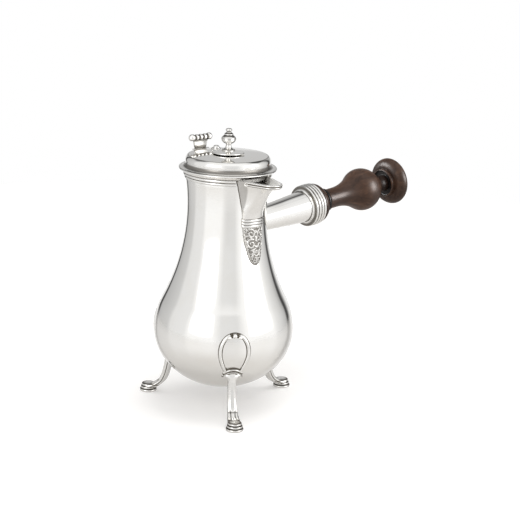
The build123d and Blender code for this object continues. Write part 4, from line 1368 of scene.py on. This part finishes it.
handle = turned("turnedHandle", soften(gripOutline(), 0.3, least=25), turns=176, along=handleLine, sharp=60)
markRecess(handle, gain=1.0, blur=1)
co = readPoints(handle)
along = alongHandle(co)
aside = np.hypot(co[:, 1], (co[:, 2] - handleHeight) * cos(handleRise) - co[:, 0] * sin(handleRise))
# painted shade in the cove, the quirk and the knob's cup, and over the flange and the knob's face to dim
# their highlights
for low, high, reach, depth in grip["shades"]:
    here = np.clip(np.minimum(along - low, high - along) / 0.3 + 0.5, 0, 1) * (aside < reach)
    addTo(handle, "recess", here * depth)
place(handle, turnedWood, "pot", "turned_wood", "turned_handle")
print("handle made")

# legs
legSizes = {
    "width": 6.9, "depth": 6.6, "taper": 0.28, "ankleWidth": 12.0, "flare": 3.3,
    "line": ((50.3, 43.4), (50.9, 28.0), (58.2, 9.6), (69.0, 4.7)),
    "flutedFrom": 0.665, "flutedRise": 0.03,
    "foot": 69.0, "footRadius": 7.4, "steps": 3, "step": 2.3, "stepIn": 0.8, "crown": 0.6,
    # film: an even painted shade over the whole leg
    "film": 0.07,
    # how far inward, and how far out as a share of the depth, in the groove down each side
    "groove": ((0.0, -0.22), (0.22, -0.2), (0.34, -0.15), (0.22, -0.1), (0.0, -0.08), (0.0, 0.02)),
}


# a smooth curve through points in a plane, with given directions at its ends
def splineThrough(points, first, last, count):
    pts = [np.array(q, float) for q in points]
    gaps = [np.linalg.norm(b1 - a1) for a1, b1 in zip(pts, pts[1:])]
    slopes = [np.array(first, float)]
    for i in range(1, len(pts) - 1):
        after, before = (pts[i + 1] - pts[i]) / gaps[i], (pts[i] - pts[i - 1]) / gaps[i - 1]
        slopes.append((after * gaps[i - 1] + before * gaps[i]) / (gaps[i] + gaps[i - 1]))
    slopes.append(np.array(last, float))
    total = sum(gaps)
    result = []
    for j in range(count + 1):
        want = total * j / count
        i = 0
        while i < len(gaps) - 1 and want > gaps[i]:
            want -= gaps[i]
            i += 1
        u, g = min(want / gaps[i], 1.0), gaps[i]
        h = (2 * u**3 - 3 * u**2 + 1, u**3 - 2 * u**2 + u, -2 * u**3 + 3 * u**2, u**3 - u**2)
        d = (6 * u**2 - 6 * u, 3 * u**2 - 4 * u + 1, -6 * u**2 + 6 * u, 3 * u**2 - 2 * u)
        a1, b1 = pts[i], pts[i + 1]
        q = h[0] * a1 + h[1] * g * slopes[i] + h[2] * b1 + h[3] * g * slopes[i + 1]
        way = d[0] * a1 + d[1] * g * slopes[i] + d[2] * b1 + d[3] * g * slopes[i + 1]
        result.append((q, way / np.linalg.norm(way)))
    return result


# section across the leg: flat back, and a face that goes from a plain pilaster to three reeds
def legRing(width, depth, fluted, count=64):
    back = -depth / 2
    side = [(0.0, back + 0.3)] + [(inward, out * depth) for inward, out in legSizes["groove"]]
    ring = [(-width / 2 + 0.3, back), (width / 2 - 0.3, back)]
    ring += [(width / 2 - inward, out) for inward, out in side]
    for i in range(count + 1):
        u = 1 - 2 * i / count
        if abs(u) < 0.38:
            t = abs(u) / 0.38
            reeds = 0.34 + 0.16 * sqrt(max(0.0, 1 - t * t))
        else:
            t = (abs(u) - 0.69) / 0.31
            reeds = 0.12 + 0.19 * sqrt(max(0.0, 1 - t * t)) - 0.04 * max(0.0, t)
        plain = 0.10 + 0.36 * sqrt(max(0.0, 1 - abs(u) ** 3.2)) - 0.035 * exp(-((abs(u) - 0.62) / 0.07) ** 2)
        ring.append((u * width / 2 * 0.995, (plain + (reeds - plain) * fluted) * depth))
    ring += [(inward - width / 2, out) for inward, out in reversed(side)]
    return ring


def legShaft(curve):
    g = legSizes
    rings = []
    for i, (spot, way) in enumerate(curve):
        along = i / (len(curve) - 1)
        width = g["width"] + (g["ankleWidth"] - g["width"]) * along ** g["flare"]
        depth = g["depth"] * (1 - g["taper"] * along)
        outward = np.array((-way[1], way[0]))
        if outward[0] < 0 and i < 10:
            outward = -outward
        fluted = min(1.0, max(0.0, (along - g["flutedFrom"]) / g["flutedRise"])) ** 2
        ring = []
        for across, out in legRing(width, depth, fluted):
            q = spot + outward * out
            ring.append((q[0], across, max(q[1], 0.15)))
        rings.append(ring)
    points, faces = skin(rings)
    return solid(newPiece("shaft", points, faces, 60))


def legFoot():
    g = legSizes
    outline = [(0.0, 0.0), (g["footRadius"] - g["stepIn"] - 0.3, 0.0)]
    for i in range(g["steps"]):
        edge, base = g["footRadius"] - (i + 1) * g["stepIn"], i * g["step"]
        for q in range(11):
            a = pi * q / 10
            level = base + g["step"] * (0.5 - 0.5 * cos(a)) * 0.98 + 0.02
            outline.append((edge + g["stepIn"] * sin(a) ** 0.8, level))
    top = g["steps"] * g["step"]
    outline += [(edge * 0.5, top + g["crown"] * 0.75), (0.0, top + g["crown"])]
    return turned("foot", outline, turns=96, centre=(g["foot"], 0), sharp=70)


def shadeLeg(leg, curve):
    g = legSizes
    co = readPoints(leg)
    aside = np.abs(co[:, 1])
    fromFoot = np.hypot(co[:, 0] - g["foot"], co[:, 1])
    # painted shade in the lines between the foot's steps and across the ankle
    stepGrooves = [(i * g["step"], 0.55, 0.95) for i in (1, 2, 3)]
    darken(leg, co[:, 2], stepGrooves, where=fromFoot > 3.5)
    ankle = (fromFoot > 7) * (aside < 4) * (co[:, 0] > 56)
    darken(leg, co[:, 2] - co[:, 0] * 0.3, [(-6.2, 0.6, 0.9)], 1.1, ankle)
    # a painted dark line in the groove down each side
    spots = np.array([spot for spot, way in curve])
    ways = np.array([way for spot, way in curve])
    near = np.argmin(np.hypot(co[:, None, 0] - spots[:, 0], co[:, None, 2] - spots[:, 1]), axis=1)
    offset = co[:, (0, 2)] - spots[near]
    out = np.abs(offset[:, 0] * -ways[near, 1] + offset[:, 1] * ways[near, 0])
    share = near / (len(curve) - 1)
    depths = g["depth"] * (1 - g["taper"] * share)
    edges = (g["width"] + (g["ankleWidth"] - g["width"]) * share ** g["flare"]) / 2
    inside = (aside > edges - 0.5) & (aside < edges + 0.01) & (co[:, 0] < g["foot"] - 6)
    darken(leg, out / depths, [(0.15, 0.08, 0.7)], 1, inside)
    # an even painted shade over the whole leg
    addTo(leg, "recess", g["film"])


def makeLeg(name, angle):
    curve = splineThrough(legSizes["line"], (0, -1), (1, 0), 60)
    leg = joined(name, [(legShaft(curve), 0.0), (legFoot(), 0.0)])
    markRecess(leg, gain=3.5, blur=2)
    shadeLeg(leg, curve)
    leg.data.transform(Matrix.Rotation(radians(angle), 4, "Z"))
    leg.data.set_sharp_from_angle(angle=radians(60))
    return shadeAtWall(leg, 0.5)


legPlaces = (("under_handle", "UnderHandle", 0), ("back", "Back", 120), ("front", "Front", 240))
for name, title, angle in legPlaces:
    place(makeLeg("leg" + title, angle), castSilver, "pot", "polished_silver", "leg_" + name)
print("legs made")

# cartouches
loopSizes = {
    "foot": 46.0, "top": 79.0, "reed": 1.35, "proud": 0.45,
    "sides": ((0.00, 6.6), (0.24, 10.0), (0.50, 11.9), (0.78, 10.2), (0.96, 5.4)),
    "lobe": 2.0, "scroll": 1.7, "spread": 4.5, "collarArc": 8.0, "collarLevel": 41.9, "arch": 3.2,
    # inset, radius, reach and painted shade of the reed and of the solder lines beside it, which are dark as
    # painted shade
    "lines": ((0.0, 1.35, 0.45, 0.0), (-1.38, 0.55, 0.0, 0.95), (1.36, 0.55, 0.0, 0.95)),
    # level, radius and painted shade of the collar's two reeds and of the dark lines beside them
    "collar": ((-0.3, 0.46, 0.0), (1.1, 0.66, 0.0), (-0.86, 0.42, 0.9), (0.36, 0.6, 0.95), (1.74, 0.4, 0.9)),
    # across, up, and radius of the balls in the ground of the crest, darkened as painted shade
    "ground": ((-2.4, -1.6, 1.5), (2.4, -1.6, 1.5), (-2.6, -0.1, 1.35), (2.6, -0.1, 1.35)),
    # level, half width and reach of the leg's head, which fans out to the collar
    "head": ((36.0, 3.5, 53.6), (37.4, 3.75, 53.7), (38.8, 4.3, 53.8), (40.2, 5.2, 53.9), (41.4, 6.3, 53.7),
             (42.4, 7.2, 53.3), (43.1, 7.4, 52.7)),
    "headDroop": 1.7,
}


def onVessel(across, level, proud):
    reach = vesselRadius(level) + proud
    a = across / vesselRadius(level)
    return (reach * cos(a), reach * sin(a), level)


def loopLine(inset):
    g = loopSizes
    height = g["top"] - g["foot"]
    side = [(w - inset, g["foot"] + u * height - inset * 0.3) for u, w in g["sides"]]
    flat = side + [(0.0, g["top"] - inset)] + [(-x, z) for x, z in reversed(side)]
    gap = (flat[1][0] - flat[0][0], flat[1][1] - flat[0][1])
    run = hypot(*gap)
    start = (gap[0] / run, gap[1] / run)
    return [q for q, way in splineThrough(flat, start, (start[0], -start[1]), 160)]


def collarPath(band, proud):
    g = loopSizes
    level = g["collarLevel"] + g["reed"] * 1.5 * band
    half = g["collarArc"] / vesselRadius(g["foot"]) * (1.06 - 0.1 * band)
    path = []
    for i in range(33):
        u = 2 * i / 32 - 1
        height = level + g["arch"] * (1 - u * u)
        reach = vesselRadius(height) + proud
        path.append((reach * cos(half * u), reach * sin(half * u), height))
    return path


def legHead():
    droop = loopSizes["headDroop"]
    rings = []
    for level, half, front in loopSizes["head"]:
        wall = vesselRadius(level) - 0.6
        ring = []
        for i in range(41):
            u = 2 * i / 40 - 1
            reach = wall + (front - wall) * max(0.0, 1 - abs(u) ** 2.6) ** 0.5
            ring.append((reach, half * u, level - droop * u * u))
        shares = [1 - 2 * i / 10 for i in range(11)]
        ring += [(wall - 0.5, half * u, level - droop * u**2) for u in shares]
        rings.append(ring)
    points, faces = skin(rings)
    return solid(newPiece("capital", points, faces, 60))


def makeCartouche(name, angle):
    g = loopSizes
    parts = []
    for inset, radius, proud, paintedShade in g["lines"]:
        line = loopLine(inset)
        runs = [line]
        if inset >= 0:  # these stop at the two scrolls of the crest
            runs = [[q for q in line if q[0] * hand > g["spread"] - 0.5] for hand in (1, -1)]
        for run in runs:
            path = [onVessel(x, z, proud) for x, z in run]
            parts.append((reedAlong(path, radius, 24, castSilver), paintedShade))
    for band, radius, paintedShade in g["collar"]:
        path = collarPath(band, g["proud"] * (1 if paintedShade == 0 else 1.3))
        parts.append((reedAlong(path, g["reed"] * radius, 20, castSilver), paintedShade))
    crest = ((0, -1.1), (-g["spread"], -2.5), (g["spread"], -2.5))
    balls = [onVessel(x, g["top"] + y, g["proud"] + 0.3) for x, y in crest]
    parts.append((ballsAt("crest", balls, [g["lobe"], g["scroll"], g["scroll"]], 32, 20), 0.0))
    balls = [onVessel(x, g["top"] + y, -0.35) for x, y, size in g["ground"]]
    parts.append((ballsAt("crestGround", balls, [size for x, y, size in g["ground"]], 24, 16), 0.95))
    parts.append((legHead(), 0.0))
    piece = joined(name, parts)
    piece.data.transform(Matrix.Rotation(radians(angle), 4, "Z"))
    return shadeAtWall(piece, 0.5)


for name, title, angle in legPlaces:
    loop = makeCartouche("legCartouche" + title, angle)
    place(loop, castSilver, "pot", "polished_silver", "leg_cartouche_" + name)
print("cartouches made")

# studio
studio = {
    "turn": 39.6,  # the camera's azimuth, from -Y towards -X
    "camera": (-814.7, -984.8, 471.06),
    "focal": 1563.02 / 520 * 36,
    "rise": 15.36, "pan": 1.27, "tilt": 0.32, "roll": 1.60,
    "floorRadius": 900.0,
    "floorDrop": 0.02,
    "paper": (0.78, 0.765, 0.75, 1),
    "under": (0.62, 0.60, 0.575, 1),
    "lift": 0.34,
    "shadowBehind": 0.06,  # how far behind the pot the darkest of the shadow lies, in metres
    # tones round the pot in degrees, 0 at the camera's side and more to its right
    "low": ((-179, 0.90), (-157, 0.90), (-152, 0.05), (-147, 0.05), (-142, 0.48), (-124, 0.57), (-106, 0.62),
            (-98, 0.79), (-68, 0.83), (-60, 1.0), (-16, 1.0), (-4, 0.80), (4, 0.74), (24, 0.76), (38, 1.0),
            (92, 1.0), (102, 0.82), (120, 0.62), (129, 0.48), (134, 0.07), (140, 0.07), (147, 0.42),
            (155, 0.85), (179, 0.90)),
    "middle": ((-179, 0.54), (-156, 0.42), (-151, 0.06), (-146, 0.05), (-141, 0.46), (-106, 0.62),
               (-98, 0.79), (-68, 0.83), (-60, 1.0), (-16, 1.0), (-4, 0.80), (24, 0.77), (38, 1.0), (92, 1.0),
               (102, 0.82), (120, 0.62), (130, 0.42), (134, 0.06), (141, 0.06), (148, 0.38), (179, 0.58)),
    "high": ((-179, 0.34), (-150, 0.26), (-116, 0.12), (-104, 0.70), (-60, 0.98), (60, 1.0), (100, 0.80),
             (114, 0.10), (140, 0.04), (168, 0.05), (176, 0.30), (179, 0.34)),
    "boxes": ((-179, 0), (-60, 0), (-46, 1), (-28, 1), (-16, 0), (42, 0), (54, 1), (80, 1), (92, 0),
              (179, 0)),
    "boxGain": 2.4,
}
toward = (-sin(radians(studio["turn"])), -cos(radians(studio["turn"])))
sideways = (cos(radians(studio["turn"])), -sin(radians(studio["turn"])))


def setCamera():
    g = studio
    rise, pan, tilt, roll = (radians(g[name]) for name in ("rise", "pan", "tilt", "roll"))
    ahead = Vector((-toward[0] * cos(rise), -toward[1] * cos(rise), -sin(rise)))
    right = Vector((sideways[0], sideways[1], 0))
    up = right.cross(ahead)
    ahead, right = ahead * cos(pan) + right * sin(pan), right * cos(pan) - ahead * sin(pan)
    ahead, up = ahead * cos(tilt) + up * sin(tilt), up * cos(tilt) - ahead * sin(tilt)
    right, up = right * cos(roll) + up * sin(roll), up * cos(roll) - right * sin(roll)
    data = bpy.data.cameras.new("camera")
    data.sensor_width = 36
    data.lens = g["focal"]
    camera = bpy.data.objects.new("camera", data)
    scene.collection.objects.link(camera)
    turn = Matrix((right, up, -ahead)).transposed().to_4x4()
    camera.matrix_world = Matrix.Translation(Vector(g["camera"]) * mm) @ turn
    scene.camera = camera


# what the camera sees, also through clear things, and what mirrors see
def rayKinds(shader):
    rays = shader.node("ShaderNodeLightPath").socket.node.outputs
    seen = Wire(shader, rays["Is Camera Ray"]) + Wire(shader, rays["Is Transmission Ray"])
    return seen.clamp(), Wire(shader, rays["Is Glossy Ray"])


def makeWorld():
    world = bpy.data.worlds.new("studio")
    scene.world = world
    shader = Shader(world)
    ray = shader.node("ShaderNodeTexCoord", out=0)
    split = shader.node("ShaderNodeSeparateXYZ", {}, {"Vector": ray})
    x, y, z = (Wire(shader, split.socket.node.outputs[i]) for i in range(3))
    front = x * toward[0] + y * toward[1]
    side = x * sideways[0] + y * sideways[1]
    angle = side.maths("ARCTAN2", front) * (1 / (2 * pi)) + 0.5
    low, middle, high, boxes = (
        shader.ramp(angle, [(0.5 + degree / 360, grey(tone)) for degree, tone in studio[name]])
        for name in ("low", "middle", "high", "boxes")
    )
    lower = shader.mix(shader.remap(z, -0.04, 0.14), low, middle)
    upper = shader.mix(shader.remap(z, 0.50, 0.66), lower, high)
    sky = shader.mix(shader.remap(z, 0.80, 0.93), upper, grey(0.95))
    walls = shader.mix(shader.remap(z, -0.85, -0.30), studio["under"], sky)
    # the soft boxes are brighter than the walls
    inBox = boxes * shader.remap(z, -0.05, 0.12) * (1.0 - shader.remap(z, 0.40, 0.60))
    gain = {"Vector": walls, "Scale": inBox * studio["boxGain"] + 1.0}
    mirrored = shader.node("ShaderNodeVectorMath", {"operation": "SCALE"}, gain)
    seen, shiny = rayKinds(shader)
    soft = shader.mix(shader.remap(z, -0.2, 0.9), grey(0.40), grey(0.70))
    colour = shader.mix(seen, shader.mix(shiny, soft, mirrored), grey(1.0))
    background = shader.node("ShaderNodeBackground", {}, {"Color": colour, "Strength": 1.0})
    shader.node("ShaderNodeOutputWorld", {}, {"Surface": background})


def makeFloor():
    r = studio["floorRadius"]
    angles = [2 * pi * i / 96 for i in range(96)]
    points = [(r * cos(a), r * sin(a), -studio["floorDrop"]) for a in angles]
    floor = newPiece("floor", points, [tuple(range(96))])
    material = bpy.data.materials.new("paleFloor")
    shader = Shader(material)
    seen, shiny = rayKinds(shader)
    spot = shader.node("ShaderNodeTexCoord", out=3)
    far = shader.node("ShaderNodeVectorMath", {"operation": "LENGTH"}, [spot], 1)
    shift = (toward[0] * studio["shadowBehind"], toward[1] * studio["shadowBehind"], 0)
    behind = shader.node("ShaderNodeVectorMath", {"operation": "ADD"}, [spot, shift])
    away = shader.node("ShaderNodeVectorMath", {"operation": "LENGTH"}, [behind], 1)
    paper = shader.node("ShaderNodeBsdfDiffuse", {}, {"Color": studio["paper"]})
    # a little light of its own for the camera, with less of it behind the pot to paint a shadow there
    glow = shader.mix(seen * shader.remap(away, 0.04, 0.13, 0.78, 1.0), grey(0.0), grey(studio["lift"]))
    lift = shader.node("ShaderNodeEmission", {}, {"Color": glow, "Strength": 1.0})
    both = shader.node("ShaderNodeAddShader", {}, [paper, lift])
    # mirrors see the floor only as far as the edge of a table
    clear = shader.node("ShaderNodeBsdfTransparent")
    edge = shiny * (shader.remap(far, 0.26, 0.80) * 0.55 + 0.45)
    surface = shader.node("ShaderNodeMixShader", {}, [edge, both, clear])
    shader.node("ShaderNodeOutputMaterial", {}, {"Surface": surface})
    floor.data.materials.append(material)


def softLight(name, spot, target, size, power):
    data = bpy.data.lights.new(name, "AREA")
    data.shape = "RECTANGLE"
    data.size = data.size_y = size
    data.energy = power
    lamp = bpy.data.objects.new(name, data)
    scene.collection.objects.link(lamp)
    lamp.location = Vector(spot)
    lamp.rotation_euler = (Vector(target) - Vector(spot)).to_track_quat("-Z", "Y").to_euler()
    lamp.visible_glossy = False
    return lamp


setCamera()
makeWorld()
makeFloor()
softLight("keyLight", (0.30, -0.11, 1.5), (0.0, 0, 0.08), 1.0, 10.0)
softLight("fillLight", (-0.9, -1.0, 0.8), (0.05, 0, 0.12), 0.6, 4.0)
# two lamps that only the wood mirrors, as soft highlights
gripSpot = (0.156, 0, 0.17)
woodOnly = bpy.data.collections.new("woodOnly")
woodOnly.objects.link(handle)
for name, spot in (("gripLightLeft", (-0.51, 0.66, 0.51)), ("gripLightRight", (0.70, -0.77, 0.48))):
    lamp = softLight(name, spot, gripSpot, 0.55, 22.0)
    lamp.visible_glossy = True
    lamp.visible_diffuse = False
    lamp.light_linking.receiver_collection = woodOnly
print("studio set")

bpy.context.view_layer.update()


def plain(bounds):
    return [[float(value) for value in corner] for corner in bounds]
